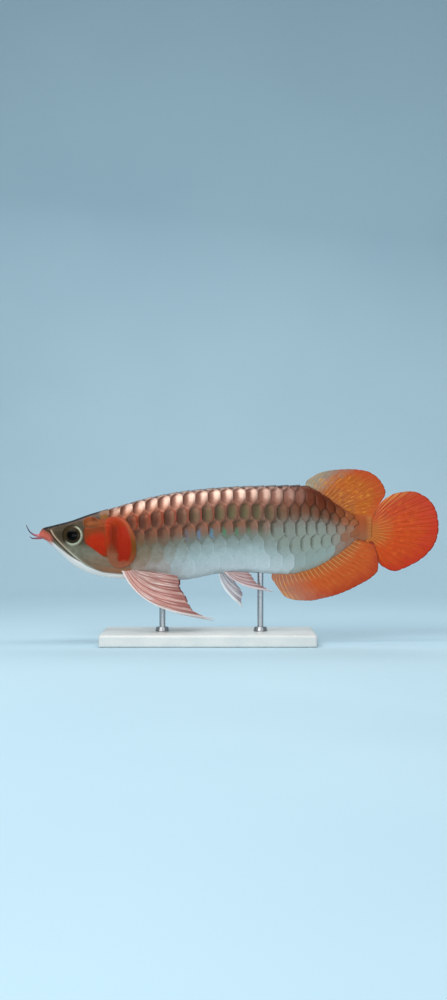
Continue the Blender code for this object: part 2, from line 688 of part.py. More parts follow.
def main():
    for old in list(bpy.data.objects):
        bpy.data.objects.remove(old)
    trunk, tail = body_rings()
    add("torso", loft(trunk), "scales")
    add("tail", loft(tail), "scales")
    make_head()
    for name, side in SIDES.items():
        make_gill_cover(f"gill_cover_{name}", side)
    grown_trunk, grown_tail = body_rings(grown=GAP)
    body_cutter = add("body_cutter", loft(head_rings(grown=GAP)[:-1] + grown_trunk + grown_tail))
    make_barbels(body_cutter)
    make_median_fins(body_cutter)
    make_paired_fins(body_cutter)
    make_stand(body_cutter)
    bpy.data.objects.remove(body_cutter)


main()
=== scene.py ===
# Looks of a life-size still model of an Asian arowana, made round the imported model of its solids.
# A place on the fish is given by how far it lies behind the chin and above the axis, the level line
# through the middle of the tail fin, and the left side, which the camera sees, faces -Y.
import math

import bmesh
import bpy
import numpy as np
from mathutils import Matrix, Vector


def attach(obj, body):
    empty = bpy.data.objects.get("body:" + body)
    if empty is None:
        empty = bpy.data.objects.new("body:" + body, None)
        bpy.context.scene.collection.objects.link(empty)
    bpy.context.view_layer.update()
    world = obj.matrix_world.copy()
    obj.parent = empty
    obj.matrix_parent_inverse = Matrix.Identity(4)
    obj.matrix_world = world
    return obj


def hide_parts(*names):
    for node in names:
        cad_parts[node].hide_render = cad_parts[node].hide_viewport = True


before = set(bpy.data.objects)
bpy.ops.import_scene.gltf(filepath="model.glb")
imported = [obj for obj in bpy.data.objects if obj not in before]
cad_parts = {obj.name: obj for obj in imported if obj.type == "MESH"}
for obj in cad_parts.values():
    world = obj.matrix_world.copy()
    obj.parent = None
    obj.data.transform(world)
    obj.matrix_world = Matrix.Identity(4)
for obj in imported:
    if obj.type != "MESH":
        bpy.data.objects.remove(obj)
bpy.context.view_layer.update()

# The room: a pale floor that bends up into a backdrop, the camera level with the fish, and four soft
# lights: a large one in front, one overhead for the back, a low one that keeps the belly pale, and one
# behind the fish.
MM = 0.001
CAMERA_AT = Vector((-9 * MM, -1.4, 143 * MM))
SIGHT_HEIGHT = 1.0  # how much the picture shows from top to bottom, at the fish's middle plane
ROOM_HALF_WIDTH = 4.0
ROOM_FRONT = -3.0
ROOM_BEND = 0.7  # where the floor starts to bend up, and the bend's radius
ROOM_BEND_STEPS = 32
ROOM_TOP = 4.0
LIGHTS = (  # place, what it points at, width and height, watts, colour
    ((-0.55, -1.15, 1.05), (0.0, 0.0, 0.1), (1.1, 0.7), 14, (1.0, 0.98, 0.95)),
    ((0.05, -0.12, 1.0), (0.0, 0.0, 0.1), (1.3, 0.35), 6, (1.0, 0.99, 0.97)),
    ((0.1, -1.75, 0.3), (0.0, 0.0, 0.1), (1.6, 0.4), 9, (0.88, 0.95, 1.0)),
    ((0.1, 1.0, 1.1), (0.0, 0.0, 0.12), (1.4, 0.6), 5, (1.0, 1.0, 1.0)),
)
SKY = ((0.80, 0.88, 0.94, 1), 0.3)  # colour and strength


def tint(red, green, blue):
    """A colour as it is seen, each part out of 255, for the shader."""
    parts = [part / 255 for part in (red, green, blue)]
    return tuple(p / 12.92 if p < 0.04045 else ((p + 0.055) / 1.055) ** 2.4 for p in parts) + (1.0,)


class Paint:
    """A socket among a material's nodes: arithmetic on it adds Math nodes, and node any other."""

    def __init__(self, tree, socket=None):
        self.tree, self.socket = tree, socket

    def node(self, kind, settings=None, inputs=None, out=0):
        made = self.tree.nodes.new(kind)
        for name, value in (settings or {}).items():
            setattr(made, name, value)
        for name, value in (inputs or {}).items():
            if isinstance(value, Paint):
                self.tree.links.new(value.socket, made.inputs[name])
            else:
                made.inputs[name].default_value = value
        return Paint(self.tree, made.outputs[out])

    def maths(self, operation, *values):
        return self.node("ShaderNodeMath", {"operation": operation}, dict(enumerate(values)))

    def __add__(self, other):
        return self.maths("ADD", self, other)

    def __sub__(self, other):
        return self.maths("SUBTRACT", self, other)

    def __rsub__(self, other):
        return self.maths("SUBTRACT", other, self)

    def __mul__(self, other):
        return self.maths("MULTIPLY", self, other)

    __radd__, __rmul__ = __add__, __mul__

    def size(self):
        return self.maths("ABSOLUTE", self)

    def wave(self):
        return self.maths("SINE", self)

    def rising(self, low, high):
        """0 below low, 1 above high, and smooth between them."""
        limits = {"Value": self, "From Min": low, "From Max": high}
        return self.node("ShaderNodeMapRange", {"interpolation_type": "SMOOTHSTEP"}, limits)

    def falling(self, low, high):
        return 1 - self.rising(low, high)

    def near(self, middle, reach):
        """1 at middle, down to 0 where it is reach away."""
        return (self - middle).size().falling(0, reach)

    def mix(self, low, high):
        """The colour low, turned to high as this goes from 0 to 1. A plain colour is a tint's parts."""
        low, high = (tint(*colour) if isinstance(colour, tuple) else colour for colour in (low, high))
        return self.node("ShaderNodeMix", {"data_type": "RGBA"}, {0: self, 6: low, 7: high}, out=2)

    def scaled(self, by):
        return self.node("ShaderNodeVectorMath", {"operation": "SCALE"}, {0: self, "Scale": by})

    def layered(self, *layers):
        """This colour with others laid over it in turn, each as far as its share goes from 0 to 1. In
        place of a colour, a number scales what lies below it."""
        colour = self
        for share, over in layers:
            colour = share.mix(colour, colour.scaled(over) if isinstance(over, float) else over)
        return colour

    def noise(self, scale, detail=2.0):
        return self.node("ShaderNodeTexNoise", None, {"Vector": self, "Scale": scale, "Detail": detail})


def finish(name, **constants):
    """A material, its shader with these sockets set, and the place on the object, for more nodes."""
    material = bpy.data.materials.new(name)
    material.use_nodes = True
    shader = material.node_tree.nodes["Principled BSDF"]
    for socket, value in constants.items():
        shader.inputs[socket.replace("_", " ").title().replace("Ior", "IOR")].default_value = value
    place = Paint(material.node_tree).node("ShaderNodeTexCoord", out="Object")
    return material, shader, place


def feed(shader, socket, paint):
    paint.tree.links.new(paint.socket, shader.inputs[socket])


def seen(place, *names):
    """The numbers that a mesh carries under these names."""
    return [place.node("ShaderNodeAttribute", {"attribute_name": name}, out="Fac") for name in names]


def bumps(height, depth):
    """The shading of a height that goes from 0 to 1, as deep as this."""
    return height.node("ShaderNodeBump", None, {"Height": height, "Distance": depth, "Strength": 1.0})


def add_object(name, data, material=None):
    made = bpy.data.objects.new(name, data)
    bpy.context.scene.collection.objects.link(made)
    if material:
        data.materials.clear()
        data.materials.append(material)
    return made


def mesh_of(bm, name):
    mesh = bpy.data.meshes.new(name)
    bm.to_mesh(mesh)
    bm.free()
    mesh.shade_smooth()
    return mesh


def backdrop():
    """One sheet: an edge drawn along the floor, spun up through the bend and drawn up the wall."""
    bm = bmesh.new()
    ends = [bm.verts.new((side * ROOM_HALF_WIDTH, ROOM_FRONT, 0)) for side in (-1, 1)]
    line = [bm.edges.new(ends)]
    for move in ((0, ROOM_BEND - ROOM_FRONT, 0), None, (0, 0, ROOM_TOP)):
        if move is None:
            spun = bmesh.ops.spin(
                bm, geom=line, cent=(0, ROOM_BEND, ROOM_BEND), axis=(1, 0, 0), angle=math.pi / 2,
                steps=ROOM_BEND_STEPS,
            )["geom_last"]
            line = [e for e in spun if isinstance(e, bmesh.types.BMEdge)]
        else:
            drawn = bmesh.ops.extrude_edge_only(bm, edges=line)["geom"]
            line = [e for e in drawn if isinstance(e, bmesh.types.BMEdge)]
            bmesh.ops.translate(bm, vec=move, verts=list({v for e in line for v in e.verts}))
    bmesh.ops.remove_doubles(bm, verts=bm.verts, dist=0.1 * MM)
    bmesh.ops.recalc_face_normals(bm, faces=bm.faces)
    material, shader, place = finish("backdrop_paper", roughness=0.9)
    feed(shader, "Base Color", place.noise(3).rising(0.3, 0.7).mix((174, 203, 217), (178, 207, 220)))
    return add_object("backdrop", mesh_of(bm, "backdrop"), material)


backdrop()

for i, (place, target, (width, height), watts, colour) in enumerate(LIGHTS):
    lamp = bpy.data.lights.new(f"soft_light_{i}", "AREA")
    lamp.shape, lamp.size, lamp.size_y = "RECTANGLE", width, height
    lamp.energy, lamp.color = watts, colour
    holder = add_object(lamp.name, lamp)
    holder.location = place
    holder.rotation_euler = (Vector(target) - Vector(place)).to_track_quat("-Z", "Y").to_euler()

sky = bpy.data.worlds.new("sky")
sky.use_nodes = True
sky.node_tree.nodes["Background"].inputs["Color"].default_value = SKY[0]
sky.node_tree.nodes["Background"].inputs["Strength"].default_value = SKY[1]
bpy.context.scene.world = sky
bpy.context.scene.view_settings.view_transform = "Standard"

lens = bpy.data.cameras.new("camera")
lens.sensor_fit = "VERTICAL"
lens.angle = 2 * math.atan(SIGHT_HEIGHT / 2 / -CAMERA_AT.y)
camera = add_object("camera", lens)
camera.location = CAMERA_AT
camera.rotation_euler = (math.pi / 2, 0, 0)
bpy.context.scene.camera = camera

# The body: one skin from the snout to the tail fin's root, over bone plates on the head and under the
# scales behind it. The bones of the cheek, the jaw and the gill cover stand up in it, as they do in a
# painted cast of a real fish.
CHIN_X = -194.1 * MM
AXIS_HEIGHT = 112 * MM
BODY_END = 333.5 * MM
BACK = (  # distance behind the chin, then the height of the back there, both in millimetres
    (0, -4.6), (2, -0.6), (5, 3.0), (12, 4.9), (32, 10), (52, 17), (82, 25.6), (112, 34),
    (152, 41), (202, 45), (252, 46.2), (266, 46.4), (282, 39.5), (302, 25.5), (312, 19.6),
    (322, 15.6), (333.5, 15),
)
BELLY = (
    (0, -5.4), (7, -9.2), (12, -13), (22, -22.5), (37, -35.5), (57, -44), (82, -47.6),
    (112, -49.2), (145, -49), (161, -46.6), (177, -43.2), (206, -41.6), (233, -43.6),
    (251, -44.2), (272, -39.6), (292, -29.6), (312, -15.4), (320, -9.8), (333.5, -9.6),
)
HALF_WIDTH = (
    (0, 2.4), (5, 6.6), (15, 10.2), (33, 14), (60, 18), (90, 20.5), (130, 21), (180, 19.5),
    (230, 15.5), (270, 10.6), (300, 7.2), (322, 4.4), (333.5, 1.7),
)
WIDEST_SHARE = 0.54  # height of the widest place, from belly to back
BACK_FULLNESS = ((0, 2.6), (70, 2.9), (110, 2.3), (334, 2.2))  # 2 is an ellipse, more is squarer
BELLY_FULLNESS = ((0, 1.9), (60, 1.9), (110, 1.75), (334, 1.9))
GIRTH_ANGLES = 361
LATTICE_PLACES = 700
LATTICE_SHARES = 181
SKIN_STEPS = ((0, 0.12), (3, 0.32), (58, 0.34), (66, 0.5), (101, 0.55), (108, 4), (310, 4), (333.5, 2))
SKIN_AROUND = 256
SKIN_DEPTH = 1.15  # how far the skin lies under the scales, in millimetres


def smooth_through(points):
    """A function that runs smoothly through (place, size) pairs, without overshooting."""
    places, sizes = np.array(points, float).T
    steps = np.diff(sizes) / np.diff(places)
    slopes = np.concatenate([[steps[0]], np.zeros(len(steps) - 1), [steps[-1]]])
    for i in range(1, len(steps)):
        if steps[i - 1] * steps[i] > 0:
            slopes[i] = 2 * steps[i - 1] * steps[i] / (steps[i - 1] + steps[i])

    def value(at):
        at = np.clip(np.asarray(at, float), places[0], places[-1])
        i = np.clip(np.searchsorted(places, at, side="right") - 1, 0, len(places) - 2)
        long = places[i + 1] - places[i]
        u = (at - places[i]) / long
        return (
            sizes[i] * (1 + 2 * u) * (1 - u) ** 2
            + sizes[i + 1] * u * u * (3 - 2 * u)
            + slopes[i] * long * u * (1 - u) ** 2
            + slopes[i + 1] * long * u * u * (u - 1)
        )

    return value


back, belly, half_width = (smooth_through(points) for points in (BACK, BELLY, HALF_WIDTH))
back_fullness, belly_fullness = smooth_through(BACK_FULLNESS), smooth_through(BELLY_FULLNESS)


def ramp(low, high, at):
    """0 at low, 1 at high, and smooth between them."""
    u = np.clip((np.asarray(at, float) - low) / (high - low), 0, 1)
    return u * u * (3 - 2 * u)


def between(ends, share):
    return ends[0] + (ends[1] - ends[0]) * share


def half_girth(behind):
    """One flank from the ridge of the back to the keel of the belly, as even steps along it."""
    top, bottom, angle = back(behind), belly(behind), np.linspace(0, math.pi, GIRTH_ANGLES)
    middle = bottom + WIDEST_SHARE * (top - bottom)
    sine, cosine = np.sin(angle), np.cos(angle)
    power = np.where(cosine > 0, back_fullness(behind), belly_fullness(behind))
    across = half_width(behind) * sine ** (2 / power)
    reach = np.where(cosine > 0, top - middle, middle - bottom)
    above = middle + reach * np.sign(cosine) * np.abs(cosine) ** (2 / power)
    along = np.concatenate([[0], np.cumsum(np.hypot(np.diff(across), np.diff(above)))])
    steps = np.linspace(0, along[-1], LATTICE_SHARES)
    return np.interp(steps, along, across), np.interp(steps, along, above)


def body_lattice():
    """Points and outward normals of the right flank, in millimetres."""
    places = np.linspace(0, BODY_END / MM, LATTICE_PLACES)
    points = np.zeros((LATTICE_PLACES, LATTICE_SHARES + 2, 3))
    for i, behind in enumerate(places):
        points[i, :, 0] = behind
        points[i, 1:-1, 1], points[i, 1:-1, 2] = half_girth(behind)
    points[:, 0], points[:, -1] = points[:, 2] * (1, -1, 1), points[:, -3] * (1, -1, 1)
    normals = np.cross(np.gradient(points, axis=0), np.gradient(points, axis=1))
    normals /= np.linalg.norm(normals, axis=-1, keepdims=True)
    return np.concatenate([points, normals], axis=-1)[:, 1:-1]


LATTICE = body_lattice()


def on_body(behind, turn):
    """Points and normals of the body's surface in millimetres. turn is the share of the girth: 0 on
    the ridge of the back, 1 on the keel of the belly, and negative on the left side."""
    behind, turn = np.broadcast_arrays(np.asarray(behind, float), np.asarray(turn, float))
    turn = (turn + 1) % 2 - 1
    i = np.clip(behind * MM / BODY_END, 0, 1) * (LATTICE_PLACES - 1)
    j = np.abs(turn) * (LATTICE_SHARES - 1)
    low_i = np.minimum(i.astype(int), LATTICE_PLACES - 2)
    low_j = np.minimum(j.astype(int), LATTICE_SHARES - 2)
    part_i, part_j = (i - low_i)[..., None], (j - low_j)[..., None]
    found = (
        LATTICE[low_i, low_j] * (1 - part_i) * (1 - part_j)
        + LATTICE[low_i + 1, low_j] * part_i * (1 - part_j)
        + LATTICE[low_i, low_j + 1] * (1 - part_i) * part_j
        + LATTICE[low_i + 1, low_j + 1] * part_i * part_j
    )
    found[..., (1, 4)] *= np.where(turn < 0, -1, 1)[..., None]
    return found[..., :3], found[..., 3:]


def in_room(points):
    """From millimetres behind the chin, across and above the axis to metres in the room."""
    return np.asarray(points) * MM + (CHIN_X, 0, AXIS_HEIGHT)


def loop_through(points, steps=12):
    """A closed smooth curve through the points, as a polygon."""
    knots, run = np.array(points, float), []
    for i in range(len(knots)):
        before, here, after, beyond = (knots[(i + k) % len(knots)] for k in (-1, 0, 1, 2))
        for u in np.arange(steps) / steps:
            bend = (2 * before - 5 * here + 4 * after - beyond) * u**2
            twist = (3 * here - before - 3 * after + beyond) * u**3
            run.append(here + 0.5 * ((after - before) * u + bend + twist))
    return np.array(run)


def curve_through(points, steps=60):
    """An open smooth curve through the points, as a polyline of even steps."""
    knots = np.array(points, float)
    long = np.concatenate([[0], np.cumsum(np.linalg.norm(np.diff(knots, axis=0), axis=1))])
    at = np.linspace(0, long[-1], steps + 1)
    runs = [smooth_through(np.column_stack([long, knots[:, k]])) for k in range(knots.shape[1])]
    return np.column_stack([run(at) for run in runs])


def distance_to(line, behind, above):
    """How far each place of the side view is from a polyline, and how far along it."""
    nearest = np.full(behind.shape, np.inf)
    share = np.zeros(behind.shape)
    for i, (start, end) in enumerate(zip(line, line[1:])):
        step = end - start
        u = ((behind - start[0]) * step[0] + (above - start[1]) * step[1]) / (step @ step)
        u = np.clip(u, 0, 1)
        far = np.hypot(behind - start[0] - u * step[0], above - start[1] - u * step[1])
        closer = far < nearest
        nearest = np.where(closer, far, nearest)
        share = np.where(closer, (i + u) / (len(line) - 1), share)
    return nearest, share


def depth_inside(loop, behind, above):
    """How deep each place lies inside a closed outline, and less than 0 outside it."""
    closed = np.vstack([loop, loop[:1]])
    edge, _ = distance_to(closed, behind, above)
    within = np.zeros(behind.shape, bool)
    for start, end in zip(closed, closed[1:]):
        crosses = (start[1] > above) != (end[1] > above)
        rise = end[1] - start[1] if end[1] != start[1] else 1.0
        within ^= crosses & (behind < start[0] + (above - start[1]) / rise * (end[0] - start[0]))
    return np.where(within, edge, -edge)


def hump(far, reach):
    return np.exp(-((far / reach) ** 2))


EYE = (35.5, -4)
EYE_RADIUS = 10.2
EYE_RING_SIDE = (0.85, -0.52)  # the ring round the eye is palest on this side, hind and below
MOUTH = ((6.1, 2.5), (12.2, -1), (15.8, -5.7), (22.7, -14.2), (32.7, -23.6), (42.6, -30.1), (49, -34.1))
MAXILLA = (
    (13.7, 1), (16.3, -3.3), (23.2, -11), (32.9, -20.2), (41.7, -27.7), (50.5, -33.9), (56.7, -36.5),
)
CHEEK_UPPER = ((46.6, 11.2), (51, 14.1), (58.8, 13.2), (63.5, 7.3), (54.5, 4.5), (47.9, 4.9))
CHEEK_LOWER = (
    (47.8, 3.3), (54.6, 3.7), (63.5, 5.9), (73.5, 6.1), (75.2, -3.1), (74.5, -15.4), (73, -24.3),
    (67.8, -25.3), (59.9, -20.2), (52.8, -14.8), (48.2, -11), (47, -3.6),
)
COVER = (
    (68.9, 11.7), (77.3, 14.8), (87.3, 12.3), (94.8, 2.9), (99.3, -8.4), (99.6, -21.3), (95, -30.8),
    (87, -35.7), (77.5, -36), (71.3, -29.3), (69.1, -16.4), (68.1, -2.5),
)
COVER_BONE = (
    (68.9, 11.7), (76.3, 14.1), (84.4, 11.5), (90.4, 3), (94.2, -8.4), (94.4, -20.3), (91.1, -28.3),
    (85.1, -32.3), (77.1, -32.8), (71.3, -28.3), (69.1, -16.4), (68.1, -2.5),
)
PREOPERCLE = ((78.4, 8.8), (81.5, 3.4), (82.7, -7.4), (82.8, -19.3), (81.6, -30.3))
NOSTRILS = ((9.4, 2.3, 0.75), (20, 4.6, 0.95))  # place, then radius
THROAT_FOLDS = (7, 11.2, 15.4, 19.6)  # how far round from the keel each lies
PALE_EDGE = (
    (0, -5.6), (6, -8.6), (13.9, -10.3), (21.1, -15.5), (33.1, -25), (45.1, -31.7), (56.6, -37.8),
    (67.1, -41.2), (84.9, -42.7), (100.6, -41.5),
)
SCALES_START = ((0, 68), (0.24, 70), (0.32, 78), (0.45, 92), (0.8, 92), (1, 86))  # turn, then place


def skin_grid():
    """The skin as a sheet wrapped round the body, closed at both ends, and each point's place."""
    step, places = smooth_through(SKIN_STEPS), [0.15]
    while places[-1] < BODY_END / MM:
        places.append(places[-1] + float(step(places[-1])))
    places[-1] = BODY_END / MM
    bm = bmesh.new()
    bmesh.ops.create_grid(bm, x_segments=SKIN_AROUND, y_segments=len(places) - 1, size=1)
    behind, turn = bm.verts.layers.float.new("behind"), bm.verts.layers.float.new("turn")
    for vert in bm.verts:
        vert[turn] = vert.co.x
        vert[behind] = places[round((vert.co.y + 1) / 2 * (len(places) - 1))]
    points, _ = on_body([v[behind] for v in bm.verts], [v[turn] for v in bm.verts])
    for vert, point in zip(bm.verts, points):
        vert.co = point
    bmesh.ops.remove_doubles(bm, verts=bm.verts, dist=1e-4)
    caps = bmesh.ops.holes_fill(bm, edges=[e for e in bm.edges if e.is_boundary], sides=0)
    centres = bmesh.ops.poke(bm, faces=caps["faces"])["verts"]
    for vert in centres:
        vert[behind] = 0 if vert.co.x < 1 else BODY_END / MM
    bmesh.ops.recalc_face_normals(bm, faces=bm.faces)
    return mesh_of(bm, "skin")


def values_of(mesh, name):
    found = np.empty(len(mesh.vertices))
    mesh.attributes[name].data.foreach_get("value", found)
    return found


def corners_of(mesh):
    flat = np.empty(len(mesh.vertices) * 3)
    mesh.vertices.foreach_get("co", flat)
    return flat.reshape(-1, 3)


def move_corners(mesh, points):
    """Moves a mesh's corners to points on the fish, in millimetres."""
    mesh.vertices.foreach_set("co", in_room(points).ravel())
    mesh.update()


def carry(mesh, **numbers):
    """Stores numbers on a mesh's points, for its material."""
    for name, values in numbers.items():
        layer = mesh.attributes.get(name) or mesh.attributes.new(name, "FLOAT", "POINT")
        layer.data.foreach_set("value", np.asarray(values, np.float32).ravel())


def raise_skin(mesh):
    """Raises the head's bones and folds out of the smooth skin, and sinks it under the scales."""
    behind, turn = values_of(mesh, "behind"), values_of(mesh, "turn")
    side, points = np.abs(turn), corners_of(mesh)
    above = points[:, 2]
    eye = np.hypot(behind - EYE[0], above - EYE[1])
    (mouth, mouth_share), (maxilla, maxilla_share), (fold, _) = (
        distance_to(curve_through(line), behind, above) for line in (MOUTH, MAXILLA, PREOPERCLE)
    )
    upper, lower, cover, bone = (
        depth_inside(loop_through(outline), behind, above)
        for outline in (CHEEK_UPPER, CHEEK_LOWER, COVER, COVER_BONE)
    )
    cheek = np.maximum(upper, lower)
    below = smooth_through(PALE_EDGE)(behind) - above
    girth_left = (1 - side) * 2.2 * (back(behind) - belly(behind)) / 2

    starts = np.interp(side, *np.array(SCALES_START).T)
    rise = -SKIN_DEPTH * ramp(starts, starts + 4, behind) * ramp(326, 320, behind)
    rise = rise * (1 - ramp(-0.1, 0.4, cover))
    rise += ramp(0, 0.6, cover) * (0.1 + 0.95 * ramp(70, 92, behind))
    rise += 0.3 * ramp(-0.4, 1.2, bone) * ramp(70, 86, behind)
    rise += ramp(-0.1, 0.8, cheek) * 0.4 - 0.22 * hump(cheek, 0.5)
    rise -= 0.14 * hump(fold, 1.2)
    rise += 0.35 * hump(eye - 10.9, 0.9) - 3.2 * ramp(EYE_RADIUS + 0.3, EYE_RADIUS - 0.9, eye)
    ends = ramp(0, 0.1, maxilla_share) * ramp(1, 0.8, maxilla_share)
    rise += 0.95 * hump(maxilla, 1.25 - 0.3 * maxilla_share) * ends
    rise -= 0.25 * hump(maxilla - 2.3, 0.5) * ends
    open_mouth = ramp(1, 0.85, mouth_share) * ramp(58, 50, behind)
    rise -= 1.5 * hump(mouth, 0.55) * open_mouth
    rise += 0.45 * hump(mouth - 1.7, 0.8) * open_mouth * (below > -3)
    for place, height, radius in NOSTRILS:
        far = np.hypot(behind - place, above - height)
        rise += 0.3 * hump(far - 1.7 * radius, 0.4) - 1.0 * hump(far, 0.8 * radius)
    under_head = ramp(3, 8, behind) * ramp(66, 50, behind)
    rise -= 0.45 * hump(girth_left, 0.7) * under_head
    for place in THROAT_FOLDS:
        rise -= 0.2 * hump(girth_left - place, 0.5) * ramp(40, 52, behind) * ramp(92, 84, behind)
    rise *= ramp(0.1, 1.2, behind)

    _, normals = on_body(behind, turn)
    move_corners(mesh, points + normals * rise[:, None])
    carry(
        mesh, above=above, side=side, eye=eye, mouth=mouth + 9 * (1 - open_mouth),
        maxilla=maxilla, upper=upper, lower=lower, cover=cover, bone=bone, below=below,
        drop=back(behind) - above,
    )


def drawn_out(across, along, detail=2.0):
    """Noise over two numbers, drawn out along the one that changes slowly."""
    both = across.node("ShaderNodeCombineXYZ", None, {0: across, 1: along, 2: 0.0})
    return both.noise(1, detail)


def skin_finish():
    material, shader, place = finish(
        "painted_skin", coat_weight=0.03, coat_roughness=0.15, specular_ior_level=0.08
    )
    fine, coarse, broad = place.noise(900, 4), place.noise(150, 3), place.noise(70, 1)
    behind, above, side, below, drop = seen(place, "behind", "above", "side", "below", "drop")
    eye, mouth, maxilla = seen(place, "eye", "mouth", "maxilla")
    upper, lower, cover, bone = seen(place, "upper", "lower", "cover", "bone")
    wander = (coarse - 0.5) * 4.0 + (broad - 0.5) * 4.0
    along, level = behind + wander * 0.5, above + wander
    streaks = drawn_out(behind * 0.55, above * 0.07)

    def patch(at, height, long, high):
        """1 in the middle of an oval patch of the head, and 0 beyond its edge."""
        u, v = (behind + wander - at) * (1 / long), (level - height) * (1 / high)
        return (u * u + v * v).falling(0.2, 1)

    forehead = coarse.mix((86, 70, 62), (112, 96, 88))
    snout = coarse.mix((50, 42, 30), (80, 70, 52))
    upper_head = (above - behind * 0.24 + wander * 0.5).falling(-3, 2).mix(forehead, snout)
    crown = (drop + behind.rising(56, 72) * 1.2).rising(1.2, 2.6)
    silver = coarse.rising(0.3, 0.7).mix((104, 99, 82), (120, 117, 101))
    body = side.rising(0.3, 0.62).mix((84, 62, 46), (156, 166, 164))
    colour = crown.mix((20, 21, 26), upper_head).layered(
        ((level + behind * 0.1).falling(-13, -5), silver),
        (behind.rising(36, 62) * level.falling(-28, -18) * 0.35, (152, 96, 66)),
        (below.near(-3.5, 4.5) * behind.rising(48, 82) * 0.8, (160, 100, 68)),
        (behind.rising(94, 102), body),
        ((behind + wander).rising(304, 320), side.rising(0.3, 0.9).mix((152, 74, 38), (158, 96, 66))),
        ((behind + wander * 0.3).rising(326, 333), (172, 84, 34)),
        ((above * 4.6).wave().rising(0.2, 0.9) * along.rising(326, 331) * 0.6, (214, 166, 104)),
    )

    brown = coarse.mix((112, 44, 16), (128, 58, 24))
    cheek = patch(62, -13, 17, 15).mix(brown, coarse.mix((150, 28, 4), (176, 44, 8)))
    cheek = (along.rising(66, 72) * 0.4).mix(cheek, (122, 42, 14))
    red = streaks.mix((146, 26, 4), (166, 38, 8)).layered(
        (level.rising(1, 8), (148, 44, 6)),
        (along.falling(69, 76), (156, 44, 8)),
        ((behind + wander * 0.6).near(77, 8) * level.falling(2, 11) * 0.85, (110, 32, 6)),
    )
    edge = level.near(-14, 22).mix((160, 74, 46), fine.mix((98, 54, 12), (120, 70, 22)))
    red = (bone + wander * 0.1).rising(-1.5, 2).mix(edge, red).layered(
        (patch(87, -35, 15, 7) * 0.8, (158, 90, 64)),
        (patch(74.5, -27, 8, 18) * 0.85, level.falling(-26, -16).mix((124, 62, 36), (144, 90, 64))),
    )
    golden = coarse.rising(0.35, 0.65).mix((96, 44, 16), (130, 68, 30))
    lip = behind.falling(11, 18) * (above + 0.5 * behind).near(-2, 9.5)
    strip = maxilla.falling(0.3, 1.1) * behind.rising(12, 14) * behind.falling(40, 64)
    under_strip = maxilla.near(2.2, 1) * below.rising(-5, -1) * behind.falling(26, 34)
    ring_side = behind * EYE_RING_SIDE[0] + above * EYE_RING_SIDE[1]
    colour = colour.layered(
        ((lower + wander * 0.25).rising(-1, 1.2), cheek),
        (patch(65, 8.5, 7, 5) * 0.85, (136, 58, 18)),
        ((upper + wander * 0.15).rising(-0.8, 0.8), golden),
        (upper.near(0.1, 0.7) * 0.4, (162, 86, 44)),
        ((cover + wander * 0.3).rising(-1, 1.2), red),
        (patch(68, 18.5, 7, 3.5) * 0.7, (148, 110, 88)),
        (patch(67, 14.5, 5, 3.5) * 0.8, (124, 76, 26)),
        (below.rising(-1, 1) * behind.falling(96, 104), fine.mix((232, 222, 216), (246, 238, 232))),
        (lip, coarse.mix((214, 114, 98), (196, 86, 68))),
        (strip * 0.75, behind.rising(24, 40).mix((182, 154, 132), (188, 188, 170))),
        (under_strip, (112, 66, 52)),
        (mouth.falling(0.15, 0.75) * 0.85, (52, 44, 36)),
        (eye.near(EYE_RADIUS, 0.8) * ring_side.rising(32, 38) * 0.7, (150, 148, 124)),
        (eye.falling(9, 9.9), (30, 24, 18)),
        (fine.rising(0.45, 0.7) * 0.3, 0.84),
    )
    feed(shader, "Base Color", colour)
    feed(shader, "Roughness", 0.34 + fine * 0.2)
    feed(shader, "Metallic", 0.04 + 0.12 * fine.rising(0.4, 0.7))
    feed(shader, "Normal", bumps(fine * 0.5 + coarse * 0.5, 0.2 * MM))
    return material


skin_mesh = skin_grid()
raise_skin(skin_mesh)
skin = add_object("skin", skin_mesh, skin_finish())
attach(skin, "root")
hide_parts("head", "lower_jaw", "gill_cover_left", "gill_cover_right", "torso", "tail")

# The scales: large thin plates of bone in staggered rows, each slightly domed, its hind rim lying
# over the roots of the next. They are set in the skin row by row, from the ridge of the back, row 0,
# to the keel of the belly, row 6, and go from copper above to silver below.
ROWS = 6
FIRST_TIP = 76.3
SCALE_PITCH = ((70, 12.45), (240, 12.4), (262, 10.4), (290, 9.9), (334, 8))
ROW_STARTS = (73, 80, 86, 97, 97, 95, 88)  # where each row's first hind rim may be
ROW_ENDS = (266, 324, 324, 324, 324, 322, 232)  # two rows end at the dorsal and anal fins
COAT_PARTS_AT = 205  # where the front and the rear pieces of a flank meet
PLATE_FACES = (12, 3)  # across and along a scale
PLATE_LENGTH = 1.35  # in pitches: one shows, and the rest is the root
PLATE_THICKNESS = (0.24, 0.08)  # above and below
PLATE_SLOPE = (0.5, 0.07)  # how far it sinks from its rim to where it is covered, above and below
PLATE_BOW = 0.97  # how far the rim draws forward at the plate's sides, in pitches and doubled
PLATE_BOWS = (0.26, 0.74)  # from where to where across a plate
PLATE_STRAY = (0.8, 1.1)  # the whole range of how far plates are out of place, and how far askew
CRISP_FROM = 0.3  # beyond this, on the way to the flat plates below, a plate's rim is crisp
SIDES = (("left", -1), ("right", 1))


